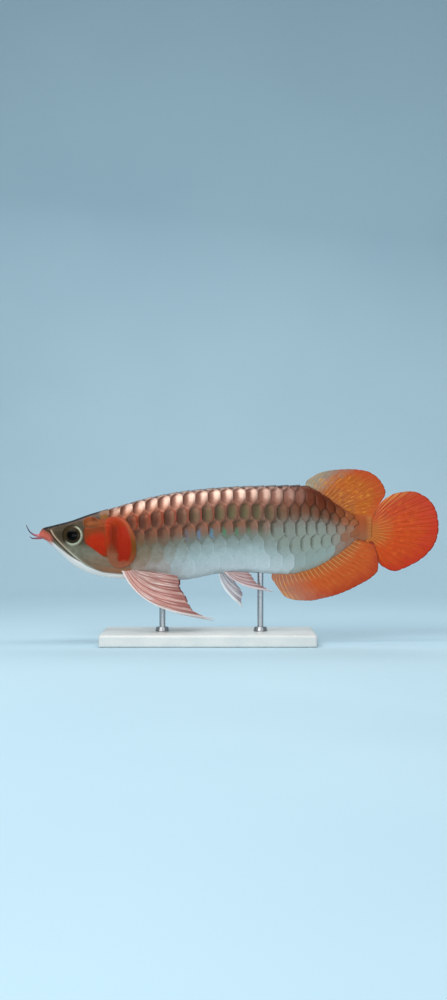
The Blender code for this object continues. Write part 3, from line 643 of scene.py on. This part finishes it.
def plate_template():
    """One scale before it is placed: a sheet whose rim is drawn down and closed below. It goes from
    -1 to 1 across, from its root at 0 to its hind rim at 1, and its underside lies at -1."""
    bm = bmesh.new()
    bmesh.ops.create_grid(bm, x_segments=PLATE_FACES[0], y_segments=PLATE_FACES[1], size=1)
    bmesh.ops.translate(bm, vec=(0, 1, 0), verts=bm.verts)
    bmesh.ops.scale(bm, vec=(1, 0.5, 1), verts=bm.verts)
    rim = [e for e in bm.edges if e.is_boundary]
    for edge in rim:
        edge.smooth = False
    drawn = bmesh.ops.extrude_edge_only(bm, edges=rim)["geom"]
    bmesh.ops.translate(bm, vec=(0, 0, -1), verts=[v for v in drawn if isinstance(v, bmesh.types.BMVert)])
    bmesh.ops.holes_fill(bm, edges=[e for e in bm.edges if e.is_boundary], sides=0)
    bmesh.ops.recalc_face_normals(bm, faces=bm.faces)
    return mesh_of(bm, "scale")


def repeated(template, count, name):
    """One mesh that holds the template count times."""
    holder = add_object(name, template.copy())
    array = holder.modifiers.new("array", "ARRAY")
    array.count = count
    array.use_relative_offset = False
    bpy.context.view_layer.update()
    shown = holder.evaluated_get(bpy.context.evaluated_depsgraph_get())
    mesh = bpy.data.meshes.new_from_object(shown)
    bpy.data.objects.remove(holder)
    return mesh


def scale_places():
    """The row, the hind rim's place and the pitch of every scale of one side, ridge and keel."""
    pitch, tip, column = smooth_through(SCALE_PITCH), FIRST_TIP, 0
    while tip < max(ROW_ENDS):
        for row in range(column % 2, ROWS + 1, 2):
            if ROW_STARTS[row] <= tip <= ROW_ENDS[row]:
                yield row, tip, float(pitch(tip))
        tip, column = tip + float(pitch(tip)) / 2, column + 1


def plate_map(mesh, template, count, tip, pitch, row, across, length):
    """A map for baking: each scale has a patch of its own at its place on the unrolled flank, and
    its underside is drawn together at the patch's front edge."""
    low, high = float((tip - pitch).min()), float(tip.max())
    patch_u = (tip - pitch * (0.03 + 0.94 * (1 - length)) - low) / (high - low)
    patch_v = ((row - 1) % (ROWS - 1) + 0.5 + 0.47 * across) / (ROWS - 1)
    front = (tip - pitch * 0.985 - low) / (high - low)
    corners = np.empty(len(mesh.loops), int)
    mesh.loops.foreach_get("vertex_index", corners)
    under = [all(template.vertices[v].co.z < -0.5 for v in face.vertices) for face in template.polygons]
    hidden = np.tile(np.repeat(under, [face.loop_total for face in template.polygons]), count)
    flat = np.column_stack([patch_u.ravel(), patch_v.ravel()])[corners]
    flat[:, 0] = np.where(hidden, np.broadcast_to(front, patch_u.shape).ravel()[corners], flat[:, 0])
    mesh.uv_layers.new(name="OFBake").data.foreach_set("uv", flat.ravel())


def coat_piece(name, places, side, material, seed):
    """One mesh of many scales, each a copy of the template laid on the body."""
    template, count = plate_template(), len(places)
    across, length, top = corners_of(template).T
    across = -side * (across + 0.07 * np.sin(2 * math.pi * across))
    row, tip, pitch = (np.array(column, float)[:, None] for column in zip(*places))
    chance, other = np.random.default_rng(seed).random((2, count, 1))

    ahead = PLATE_LENGTH * (1 - length) ** 1.6
    bow = PLATE_BOW * ramp(*PLATE_BOWS, np.abs(across))
    stray = (other - 0.5) * (PLATE_STRAY[0] + PLATE_STRAY[1] * across)
    behind = tip + stray - (bow / 2 + ahead) * pitch
    full = ramp(68, 96, tip) * (1 - 0.9 * ramp(290, 322, tip))
    low = ramp(2.2, 4.2, row)
    slope, thickness = between(PLATE_SLOPE, low), between(PLATE_THICKNESS, low)
    relief = 0.2 * slope * (1 - across**2) - slope * ahead - 0.45 * ramp(1, PLATE_LENGTH, ahead)
    relief -= 0.5 * ramp(0.7, 1, np.abs(across)) + 0.12 * low
    relief += (chance - 0.5) * 0.25 * slope * (1 - ahead)
    rise = relief * (0.45 + 0.55 * full) - 0.1 - 0.4 * (1 - full) + top * thickness
    points, normals = on_body(behind, side * (row + across) / ROWS)
    mesh = repeated(template, count, name)
    creases = mesh.attributes["sharp_edge"].data
    sharp = np.empty(len(creases), bool)
    creases.foreach_get("value", sharp)
    creases.foreach_set("value", sharp & np.repeat(low.ravel() > CRISP_FROM, len(template.edges)))
    move_corners(mesh, points + normals * rise[..., None])
    each = np.ones_like(behind)
    carry(
        mesh, height=ROWS - np.abs(ROWS - np.abs(row + 0.8 * across)), across=across * each,
        ahead=ahead * each, behind=tip * each, chance=chance * each, other=other * each,
    )
    plate_map(mesh, template, count, tip, pitch, row, across, length)
    piece = add_object(name, mesh, material)
    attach(piece, "root")


def by_row(height, *colours):
    """A colour for each row of scales, smooth between them."""
    bands = height.node("ShaderNodeValToRGB", None, {0: height * (1 / ROWS)})
    stops = bands.socket.node.color_ramp.elements
    while len(stops) < len(colours):
        stops.new(1)
    for stop, (place, *colour) in zip(stops, colours):
        stop.position, stop.color = place / ROWS, tint(*colour)
    return bands


def scale_finish():
    material, shader, place = finish(
        "painted_scales", coat_weight=0.05, coat_roughness=0.2, specular_ior_level=0.13
    )
    fine, coarse = place.noise(800, 4), place.noise(170, 2)
    across, ahead, height = seen(place, "across", "ahead", "height")
    behind, chance, other = seen(place, "behind", "chance", "other")
    bow = across.size().rising(*PLATE_BOWS) * (PLATE_BOW / 2)
    before = bow + ahead
    shows = 1 - bow - before
    height = height + (coarse - 0.5) * 0.5
    zone = behind + (coarse - 0.5) * 16 + (other - 0.5) * 8

    front = by_row(
        height, (0.24, 34, 34, 36), (0.42, 150, 116, 104), (1.1, 184, 126, 100), (1.5, 146, 80, 52),
        (1.9, 118, 54, 30), (2.9, 114, 72, 48), (3.5, 106, 92, 70), (4.2, 134, 110, 86),
        (5, 166, 138, 122), (6, 186, 170, 166),
    )
    middle = by_row(
        height, (0.24, 34, 34, 36), (0.42, 164, 130, 118), (1, 158, 112, 96), (1.5, 148, 100, 82),
        (2, 116, 84, 64), (2.8, 130, 82, 60), (3.4, 112, 116, 106), (4.3, 162, 178, 178),
        (5.4, 200, 210, 213), (6, 186, 198, 200),
    )
    rear = by_row(
        height, (0, 40, 20, 12), (0.5, 92, 38, 18), (1.3, 96, 44, 24), (2, 104, 63, 42),
        (3, 130, 134, 124), (4, 139, 147, 136), (5.2, 150, 164, 158), (6, 168, 152, 130),
    )
    # A painted highlight: a cream disc on each scale of the row under the ridge, where the light from
    # above shines on the glossy back.
    disc = (before - 0.24).size().falling(0.14, 0.45) * (across + 0.14).size().falling(0.12, 0.6)
    disc_highlight = disc * height.near(0.8, 0.9) * zone.falling(205, 275) * (zone.rising(78, 100) * 0.6 + 0.4)
    narrow = shows + (other - 0.5) * 0.2 + zone.rising(225, 270) * 0.24
    narrow = narrow - height.near(2.1, 0.9) * zone.falling(230, 270) * 0.16
    # The dark patch at each scale's root, just behind the rim of the scale in front, is partly the
    # scale's own darker pigment and partly painted shade under that rim.
    root = narrow.falling(0.16, 0.6) * (across + 0.06).size().falling(0.36, 0.64)
    upper = height.falling(2.5, 3.7) + zone.rising(215, 275) * height.falling(3.9, 5.4) * 0.7
    root_pigment_and_shade = zone.rising(140, 200).mix((66, 34, 22), (58, 48, 30))
    root_pigment_and_shade = height.falling(1.2, 1.7).mix(root_pigment_and_shade, (80, 42, 30))
    olive = shows.near(0.5, 0.35) * across.size().falling(0.2, 0.6) * height.near(2.1, 0.7)
    glint = height.near(3.15, 0.36) * shows.near(0.3, 0.25) * zone.near(192, 48)
    colour = zone.rising(100, 165).mix(front, middle).layered(
        ((zone + height.near(3.1, 2.1) * 28).rising(236, 282), rear),
        (zone.rising(288, 326), (156, 88, 52)),
        (chance.rising(0.1, 0.9) * height.falling(2.6, 3.6) * 0.3, 0.68),
        (zone.falling(86, 106) * height.near(1, 1) * 0.65, (120, 62, 36)),
        # the painted highlight on the discs
        (disc_highlight * (0.62 + other * 0.38), (242, 202, 182)),
        # A painted shadow: grey on the belly round the roots of the pelvic fins.
        (height.rising(5, 5.8) * behind.near(184, 14) * 0.5, (152, 160, 158)),
        # the root patches: darker pigment, and painted shade under the rim in front
        (root * upper.rising(0, 1) * (zone.falling(298, 322) * 0.65 + 0.2), root_pigment_and_shade),
        (olive * zone.near(205, 70) * 0.6, (96, 96, 62)),
        (glint * 0.8, zone.rising(178, 190).mix((92, 138, 178), (60, 132, 94))),
    )

    # The hind rims: the scale's colour made a little lighter, a painted highlight where the raised rim
    # catches the light, and over that the rims' own red and pinkish grey in the middle rows.
    line = (ahead + (coarse - 0.5) * 0.08).falling(0.06, 0.17) * across.size().falling(0.4, 0.62)
    line = line * zone.falling(270, 306) * (0.3 + coarse.rising(0.35, 0.6) * 0.7)
    rose = chance.mix((184, 70, 52), (196, 104, 88))
    edge = colour.scaled(1.12).layered(
        (height.near(2.1, 1.1) * zone.falling(170, 240), rose),
        (height.near(2.2, 1.2) * zone.near(225, 60) * 0.6, (160, 124, 110)),
    )
    colour = colour.layered((line * 0.85, edge), ((fine - 0.5 + other * 0.3).rising(-0.1, 0.5), 0.88))
    ribs = (across * 58.0 + coarse * 3).wave() * 0.5 + 0.5
    rings = (ahead * 70.0).wave() * 0.5 + 0.5
    feed(shader, "Base Color", colour)
    feed(shader, "Roughness", 0.3 + fine * 0.16)
    feed(shader, "Metallic", height.falling(1.2, 4) * 0.22 + 0.06)
    feed(shader, "Normal", bumps(ribs * 0.25 + rings * 0.25 + fine * 0.5, 0.08 * MM))
    return material


coat = list(scale_places())
flank = [place for place in coat if 0 < place[0] < ROWS]
scale_paint = scale_finish()
for seed, (name, side) in enumerate(SIDES):
    front = [place for place in flank if place[1] < COAT_PARTS_AT]
    coat_piece(f"scales_{name}_front", front, side, scale_paint, seed)
    rear = [place for place in flank if place[1] >= COAT_PARTS_AT]
    coat_piece(f"scales_{name}_rear", rear, side, scale_paint, seed + 2)
coat_piece("scales_ridge", [place for place in coat if place[0] == 0], 1, scale_paint, 4)
coat_piece("scales_keel", [place for place in coat if place[0] == ROWS], 1, scale_paint, 5)

# The eyes: turned glass, painted from behind, with a dark iris in a pale gold ring. Each is set in
# its socket so that the clear front stands just proud of the cheek.
EYE_HALF_DEPTH = 4.6
EYE_STANDS_OUT = 2.2
EYE_LEAN = (0.5, 1)  # how far the eye leans with the cheek, forwards and upwards
EYE_FACES = (64, 40)
FLANK_STEPS = 400


def on_flank(behind, above, side):
    """The point of the flank at a place of the side view, and its outward direction."""
    turns = np.linspace(0, 1, FLANK_STEPS)
    heights = on_body(behind, turns)[0][:, 2]
    point, normal = on_body(behind, side * np.interp(-above, -heights, turns))
    return Vector(point), Vector(normal)


def eye_finish():
    material, shader, place = finish("eye_glass", roughness=0.1, specular_ior_level=0.05)
    out, aside = seen(place, "out", "aside")
    streaks = place.noise(420, 3)
    ring = (out + streaks * 0.03).rising(0.78, 0.84) * aside.rising(-0.5, 0.1)
    colour = out.rising(0.3, 0.8).mix((12, 10, 8), (54, 43, 27)).layered(
        (out.falling(0.46, 0.54), (4, 4, 4)),
        (ring, streaks.mix((146, 142, 116), (206, 208, 190))),
    )
    feed(shader, "Base Color", colour)
    return material


eye_paint = eye_finish()
for name, side in SIDES:
    cheek, outward = on_flank(*EYE, side)
    look = Vector((EYE_LEAN[0] * outward.x, outward.y, EYE_LEAN[1] * outward.z)).normalized()
    turned = look.to_track_quat("Z", "Y").to_matrix().to_4x4()
    bm = bmesh.new()
    bmesh.ops.create_uvsphere(bm, u_segments=EYE_FACES[0], v_segments=EYE_FACES[1], radius=1)
    out_layer, aside_layer = bm.verts.layers.float.new("out"), bm.verts.layers.float.new("aside")
    for vert in bm.verts:
        vert[out_layer] = math.hypot(vert.co.x, vert.co.y)
        vert[aside_layer] = (turned @ vert.co).xz.dot(Vector(EYE_RING_SIDE))
    centre = Vector(in_room(cheek + outward * (EYE_STANDS_OUT - EYE_HALF_DEPTH)))
    size = Matrix.Diagonal((EYE_RADIUS * MM, EYE_RADIUS * MM, EYE_HALF_DEPTH * MM, 1))
    bmesh.ops.transform(bm, matrix=Matrix.Translation(centre) @ turned @ size, verts=bm.verts)
    eye = add_object(f"eyeball_{name}", mesh_of(bm, f"eyeball_{name}"), eye_paint)
    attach(eye, "root")
    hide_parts(f"eye_{name}")

# The barbels: two soft feelers on the chin's tip, each cast with the swelling that it grows from,
# which taper and curl up as the fish swims.
BARBEL_ENDS = (1.35, 0.32)  # radius at the root and at the tip
BARBEL_STEPS = 44
BARBEL_SIDES = 14
BARBELS = {
    "barbel_left": ((3, -2, -5), (-3, -3, -4), (-8, -4.4, -0.6), (-11.6, -5, 6.2)),
    "barbel_right": ((3, 2, -6.4), (-2, 3.4, -7.4), (-6.6, 6.4, -7.6), (-10, 10.4, -6)),
}


def barbel_finish():
    material, shader, place = finish("barbel_skin", coat_weight=0.1, specular_ior_level=0.3)
    mottle = place.noise(300)
    along = seen(place, "along")[0] + mottle * 0.4
    feed(shader, "Base Color", along.rising(0.15, 0.9).mix((196, 104, 106), (70, 62, 88)))
    feed(shader, "Roughness", 0.35 + mottle * 0.2)
    return material


barbel_paint = barbel_finish()
for name, knots in BARBELS.items():
    path = curve_through(knots, BARBEL_STEPS)
    bm = bmesh.new()
    bmesh.ops.create_cone(
        bm, cap_ends=True, segments=BARBEL_SIDES, radius1=1, radius2=1, depth=BARBEL_STEPS
    )
    bmesh.ops.translate(bm, vec=(0, 0, BARBEL_STEPS / 2), verts=bm.verts)
    for cut in range(1, BARBEL_STEPS):
        everything = bm.verts[:] + bm.edges[:] + bm.faces[:]
        bmesh.ops.bisect_plane(bm, geom=everything, plane_co=(0, 0, cut), plane_no=(0, 0, 1))
    along = bm.verts.layers.float.new("along")
    for vert in bm.verts:
        i = round(vert.co.z)
        share = i / BARBEL_STEPS
        heading = Vector(path[min(i + 1, BARBEL_STEPS)] - path[max(i - 1, 0)]).to_track_quat("Z", "Y")
        radius = between(BARBEL_ENDS, share**0.8) + 0.4 * hump(share, 0.3)
        vert[along] = share
        vert.co = in_room(Vector(path[i]) + heading @ Vector((vert.co.x * radius, vert.co.y * radius, 0)))
    barbel = add_object(f"{name}_soft", mesh_of(bm, name), barbel_paint)
    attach(barbel, "root")
    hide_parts(name)

# The dorsal, anal and tail fins: a thin web cast over soft rays, which part into finer branches
# towards the rim. They stand in the middle plane with a slight wave, their roots sunk in the flesh.
ROOT_SUNK = 3
RAY_COLUMNS = 20  # faces from one ray to the next
FIN_ROWS = 60
ROOT_THICKNESS = 2.2
RAY_THICKNESS = (1.1, 0.35)  # at the root and at the rim
WEB_THICKNESS = (0.45, 0.22)
THICKNESS_STEPS = 100
RAY_PARTS = ((0.17, 0.25, 0.8), (0.08, 0.6, 1))  # how far branches part, and from where to where
MEDIAN_NOTCH, PAIRED_NOTCH = 0.012, 0.03  # how deep the rim is drawn in between two rays
FIN_WAVE = 1.1  # how far the waves swing at the rim
DORSAL = (  # guide rays: behind the chin and above the axis at the root, then both at the tip
    (267.2, 46, 272.6, 53.2), (273, 44.7, 281.5, 58.2), (279.5, 41.8, 295, 61),
    (286, 38.2, 311, 62), (292.5, 33.6, 327.5, 60.2), (299, 28.2, 341.5, 51.2),
    (305.5, 22.6, 347.3, 38.5), (309.4, 19.2, 341.3, 26.6), (313.5, 15.4, 335, 12.8),
)
ANAL = (
    (233.6, -43.2, 237.5, -51.5), (238.5, -44, 246.5, -65.5), (246, -44.4, 258.6, -69.2),
    (255, -43.6, 271.6, -69.6), (264, -42, 284, -67.3), (273, -39.2, 296, -64.5),
    (282, -35, 309, -59.7), (290.5, -30.4, 322, -53.2), (298.5, -25.2, 333, -46.6),
    (306, -19.6, 339.6, -38.5), (313, -14.8, 340, -27.5), (319.5, -7.5, 334.6, -10.4),
)
CAUDAL = (
    (333.8, 14.4, 346, 31.8), (333.8, 11.7, 358, 38), (333.8, 8.9, 373, 39.8),
    (333.8, 6.2, 389, 33), (333.8, 3.4, 398.3, 18.5), (333.8, 0.8, 400.2, 4),
    (333.8, -1.9, 397.6, -10), (333.8, -4.4, 387.5, -24.2), (332, -6.6, 373, -34),
    (329.5, -8, 356, -40.2), (326.5, -8.8, 343.4, -35.2),
)


def fin_mesh(name, guides, rays, bow, across, notch):
    """A fan of rays with a web between them. across gives how far each point stands off the middle
    plane, from its share of the fin and how far out it is; bow is the sag of the end rays."""
    bm = bmesh.new()
    columns = RAY_COLUMNS * (rays - 1)
    bmesh.ops.create_grid(bm, x_segments=columns, y_segments=FIN_ROWS, size=1)
    mesh = mesh_of(bm, name)
    share, far = (corners_of(mesh)[:, :2].T + 1) / 2
    off_ray = np.abs(share * (rays - 1) - np.round(share * (rays - 1)))
    for apart, low, high in RAY_PARTS:
        off_ray = np.abs(off_ray - apart * ramp(low, high, far))
    ridge = hump(off_ray, 0.085)

    runs = [smooth_through(np.column_stack([np.linspace(0, 1, len(guides)), g])) for g in zip(*guides)]
    root, tip = np.stack([run(share) for run in runs[:2]]), np.stack([run(share) for run in runs[2:]])
    lean = tip - root
    long = np.hypot(*lean)
    reach = far - notch * (1 - hump(off_ray, 0.2)) * far**4
    along = reach * (1 + ROOT_SUNK / long) - ROOT_SUNK / long
    out = np.maximum(along, 0)
    sag = between(bow, share) * np.sin(math.pi * np.minimum(out, 1) ** 0.8)
    behind, above = root + lean * along + np.stack([lean[1], -lean[0]]) / long * sag
    move_corners(mesh, np.column_stack([behind, across(share, out), above]))
    carry(mesh, share=share, out=out, ridge=ridge, reach=out * long)
    blade = between((between(WEB_THICKNESS, out), between(RAY_THICKNESS, out)), ridge)
    return mesh, between((ROOT_THICKNESS, blade), ramp(0, 0.16, out))


def add_fin(name, mesh, thickness, material):
    """The fin's object, thickened from its middle sheet."""
    fin = add_object(f"{name}_web", mesh, material)
    group = fin.vertex_groups.new(name="thickness")
    steps = np.round(thickness / ROOT_THICKNESS * THICKNESS_STEPS).astype(int)
    for step in np.unique(steps):
        group.add(np.flatnonzero(steps == step).tolist(), step / THICKNESS_STEPS, "REPLACE")
    body = fin.modifiers.new("thickness", "SOLIDIFY")
    body.thickness = ROOT_THICKNESS * MM
    body.offset = 0
    body.vertex_group = "thickness"
    body.use_even_offset = False
    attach(fin, "root")
    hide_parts(name)


def fin_finish(name, front, base, middle, rim, fleck, ray_line, rays):
    """The paint of a median fin: its front rays, base, middle and rim, flecks, and ray lines."""
    material, shader, place = finish(
        name, subsurface_weight=0.06, subsurface_scale=0.002, coat_weight=0.05, specular_ior_level=0.15
    )
    out, share, ridge, reach = seen(place, "out", "share", "ridge", "reach")
    fine, coarse = place.noise(700, 4), place.noise(130, 3)
    streak = drawn_out(share * (rays * 2.2), reach * 0.16, 3.0)
    wander = (coarse - 0.5) * 0.5 + (streak - 0.5) * 0.3
    pale_rays = out.falling(0.1, 0.42) + share.falling(0.06, 0.3) * 0.9
    joints = (reach * 3.2 + streak * 2).wave().rising(0.2, 0.9) * ridge
    corner = out.rising(0.93, 0.97) * share.rising(0.86, 0.92)
    edge = out.rising(0.97, 1) + share.rising(0.97, 0.995) + corner
    colour = (out + wander).rising(0, 0.42).mix(base, middle).layered(
        ((out + wander).rising(0.6, 1), rim),
        ((share + wander * 0.4 - out * 0.05).falling(0.1, 0.44), front),
        (streak.rising(0.54, 0.68) * out.falling(0.5, 0.95) * 0.75, fleck),
        (streak.falling(0.3, 0.44) * 0.5, 0.7),
        (ridge.near(0.4, 0.35) * out.rising(0.2, 0.45) * 0.4, 0.62),
        (ridge.rising(0.3, 0.9) * pale_rays.rising(0, 1) * 0.7, ray_line),
        (joints * 0.2, 0.75),
        (edge.rising(0, 1), 0.55),
    )
    feed(shader, "Base Color", colour)
    feed(shader, "Roughness", 0.42 + fine * 0.2)
    feed(shader, "Normal", bumps(fine * 0.3 + streak * 0.3 + joints * 0.4, 0.15 * MM))
    return material


def median_wave(waves):
    return lambda share, out: FIN_WAVE * out * out * np.sin(2 * math.pi * (waves * share + 0.3 * out))


MEDIAN_FINS = (  # name, guide rays, rays, sag, waves, then the paint's colours
    ("dorsal_fin", DORSAL, 20, (-1.5, 0), 1.3, (140, 137, 121), (158, 80, 28), (180, 88, 20),
     (183, 68, 20), (212, 138, 42), (196, 136, 70)),
    ("anal_fin", ANAL, 26, (2, 0), 1.6, (168, 108, 86), (176, 92, 40), (187, 79, 24), (172, 57, 18),
     (188, 100, 40), (226, 176, 112)),
    ("caudal_fin", CAUDAL, 18, (-1.5, 1.5), 1.0, (180, 56, 22), (176, 90, 34), (192, 65, 8),
     (190, 48, 17), (206, 92, 22), (220, 168, 84)),
)
for name, guides, rays, bow, waves, *colours in MEDIAN_FINS:
    mesh, thickness = fin_mesh(name, guides, rays, bow, median_wave(waves), MEDIAN_NOTCH)
    add_fin(name, mesh, thickness, fin_finish(f"{name}_paint", *colours, rays))

# The pectoral and pelvic fins: long fans with a stout first ray, cast apart and let into the flank.
# They lean out and down as a slowly swimming fish holds them, the far ones a little lower.
PECTORAL = (
    (84.5, -39.5, 177, -85), (86.5, -39.4, 163, -81.2), (88.5, -39.3, 153.6, -75.3),
    (90.5, -39.2, 149.4, -68.6), (92.5, -39.1, 146.2, -62), (94.5, -39, 141.2, -55.4),
    (96.3, -38.9, 141.3, -49.4), (98, -38.8, 139.6, -43.6),
)
PELVIC_LEFT = (
    (186, -41, 234.6, -60), (188.4, -41, 225, -55.2), (190.6, -41, 217.8, -51.2),
    (192.8, -41, 214.8, -47), (195, -41, 212.6, -43.4), (197, -41, 209.8, -41),
)
PELVIC_RIGHT = (
    (180, -41.4, 205.1, -78), (182, -41.3, 203, -71), (184, -41.2, 204.3, -64),
    (186, -41.1, 201.5, -58), (188, -41, 197.5, -53), (190, -41, 195, -48),
)
PECTORAL_RAYS, PELVIC_RAYS = 7, 6
PECTORAL_BOW, PELVIC_BOW = (15, -0.5), (5, -0.5)
PECTORAL_REACH = (25, 10)  # how far the first and the last tip stand out from the root
PELVIC_REACH = (11, 5)
PECTORAL_BEND, PELVIC_BEND = 0.9, 0.7  # 1 is straight, and less leans out mostly near the root
PECTORAL_SUNK = 1.2
FAR_PECTORAL_DROOP = 1.18


def paired_finish(name, rays, web, line, leading, hind):
    """The paint of a paired fin: its web, the lines of its rays and the pale band along its front."""
    material, shader, place = finish(
        name, subsurface_weight=0.1, subsurface_scale=0.002, coat_weight=0.05, specular_ior_level=0.2
    )
    out, share, ridge, reach = seen(place, "out", "share", "ridge", "reach")
    fine, coarse = place.noise(600, 4), place.noise(110, 3)
    streak = drawn_out(share * (rays * 6.0), reach * 0.05)
    joints = (reach * 2.6).wave().rising(0.3, 0.9) * ridge
    colour = (share + (coarse - 0.5) * 0.6).rising(0.4, 0.9).mix(web, hind).layered(
        (streak.rising(0.5, 0.66) * 0.6, leading),
        (streak.falling(0.34, 0.46) * 0.6, 0.68),
        (ridge.rising(0.2, 0.8) * 0.7, line),
        ((share + out * 0.04).falling(0.1, 0.2) * 0.9, leading),
        (fine.rising(0.4, 0.65) * 0.25, 0.85),
        (out.rising(0.65, 1) * 0.55, 0.6),
        (joints * 0.2, 0.72),
    )
    feed(shader, "Base Color", colour)
    feed(shader, "Roughness", 0.4 + fine * 0.2)
    feed(shader, "Normal", bumps(fine * 0.5 + joints * 0.5, 0.15 * MM))
    return material


def standing_out(side, root, reach, bend):
    return lambda share, out: side * (root + between(reach, share) * out**bend)


pectoral_paint = paired_finish(
    "pectoral_fin_paint", PECTORAL_RAYS, (192, 138, 126), (134, 60, 56), (226, 214, 210),
    (168, 130, 120),
)
near_pelvic_paint = paired_finish(
    "pelvic_fin_near_paint", PELVIC_RAYS, (177, 151, 150), (136, 78, 78), (206, 190, 190),
    (164, 138, 136),
)
far_pelvic_paint = paired_finish(
    "pelvic_fin_far_paint", PELVIC_RAYS, (203, 196, 198), (142, 124, 140), (236, 238, 240),
    (206, 196, 198),
)
for name, side, droop, pelvic, pelvic_paint in (
    ("left", -1, 1, PELVIC_LEFT, near_pelvic_paint),
    ("right", 1, FAR_PECTORAL_DROOP, PELVIC_RIGHT, far_pelvic_paint),
):
    guides = [(s, a, tip, a + droop * (down - a)) for s, a, tip, down in PECTORAL]
    root = on_flank(*guides[3][:2], 1)[0].y - PECTORAL_SUNK
    lean, fin = standing_out(side, root, PECTORAL_REACH, PECTORAL_BEND), f"pectoral_fin_{name}"
    mesh, thickness = fin_mesh(fin, guides, PECTORAL_RAYS, PECTORAL_BOW, lean, PAIRED_NOTCH)
    add_fin(fin, mesh, thickness, pectoral_paint)
    root = on_flank(*pelvic[2][:2], 1)[0].y
    lean, fin = standing_out(side, root, PELVIC_REACH, PELVIC_BEND), f"pelvic_fin_{name}"
    mesh, thickness = fin_mesh(fin, pelvic, PELVIC_RAYS, PELVIC_BOW, lean, PAIRED_NOTCH)
    add_fin(fin, mesh, thickness, pelvic_paint)

# The stand: a base cut from pale solid-surface sheet with its edges eased, and two turned rods of
# brushed steel, each with a collar where it is screwed down. The solids' own pieces show.


def base_finish():
    material, shader, place = finish("stand_sheet", coat_weight=0.15, coat_roughness=0.3)
    fine, cloud = place.noise(1400, 3), place.noise(40, 3)
    colour = cloud.rising(0.3, 0.7).mix((214, 214, 210), (204, 206, 204))
    feed(shader, "Base Color", (fine.rising(0.56, 0.7) * 0.5).mix(colour, (178, 178, 174)))
    feed(shader, "Roughness", 0.4 + fine * 0.15)
    feed(shader, "Normal", bumps(fine, 0.03 * MM))
    return material


def rod_finish():
    material, shader, place = finish("brushed_steel", metallic=1.0)
    stretched = place.node("ShaderNodeMapping", None, {"Vector": place, "Scale": (60.0, 60.0, 2400.0)})
    brush = stretched.noise(1, 3)
    feed(shader, "Base Color", brush.mix((150, 152, 156), (204, 206, 208)))
    feed(shader, "Roughness", 0.24 + brush * 0.2)
    feed(shader, "Normal", bumps(brush, 0.04 * MM))
    return material


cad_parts["stand_base"].material_slots[0].material = base_finish()
steel = rod_finish()
for name in ("stand_rod_front", "stand_rod_rear"):
    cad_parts[name].material_slots[0].material = steel
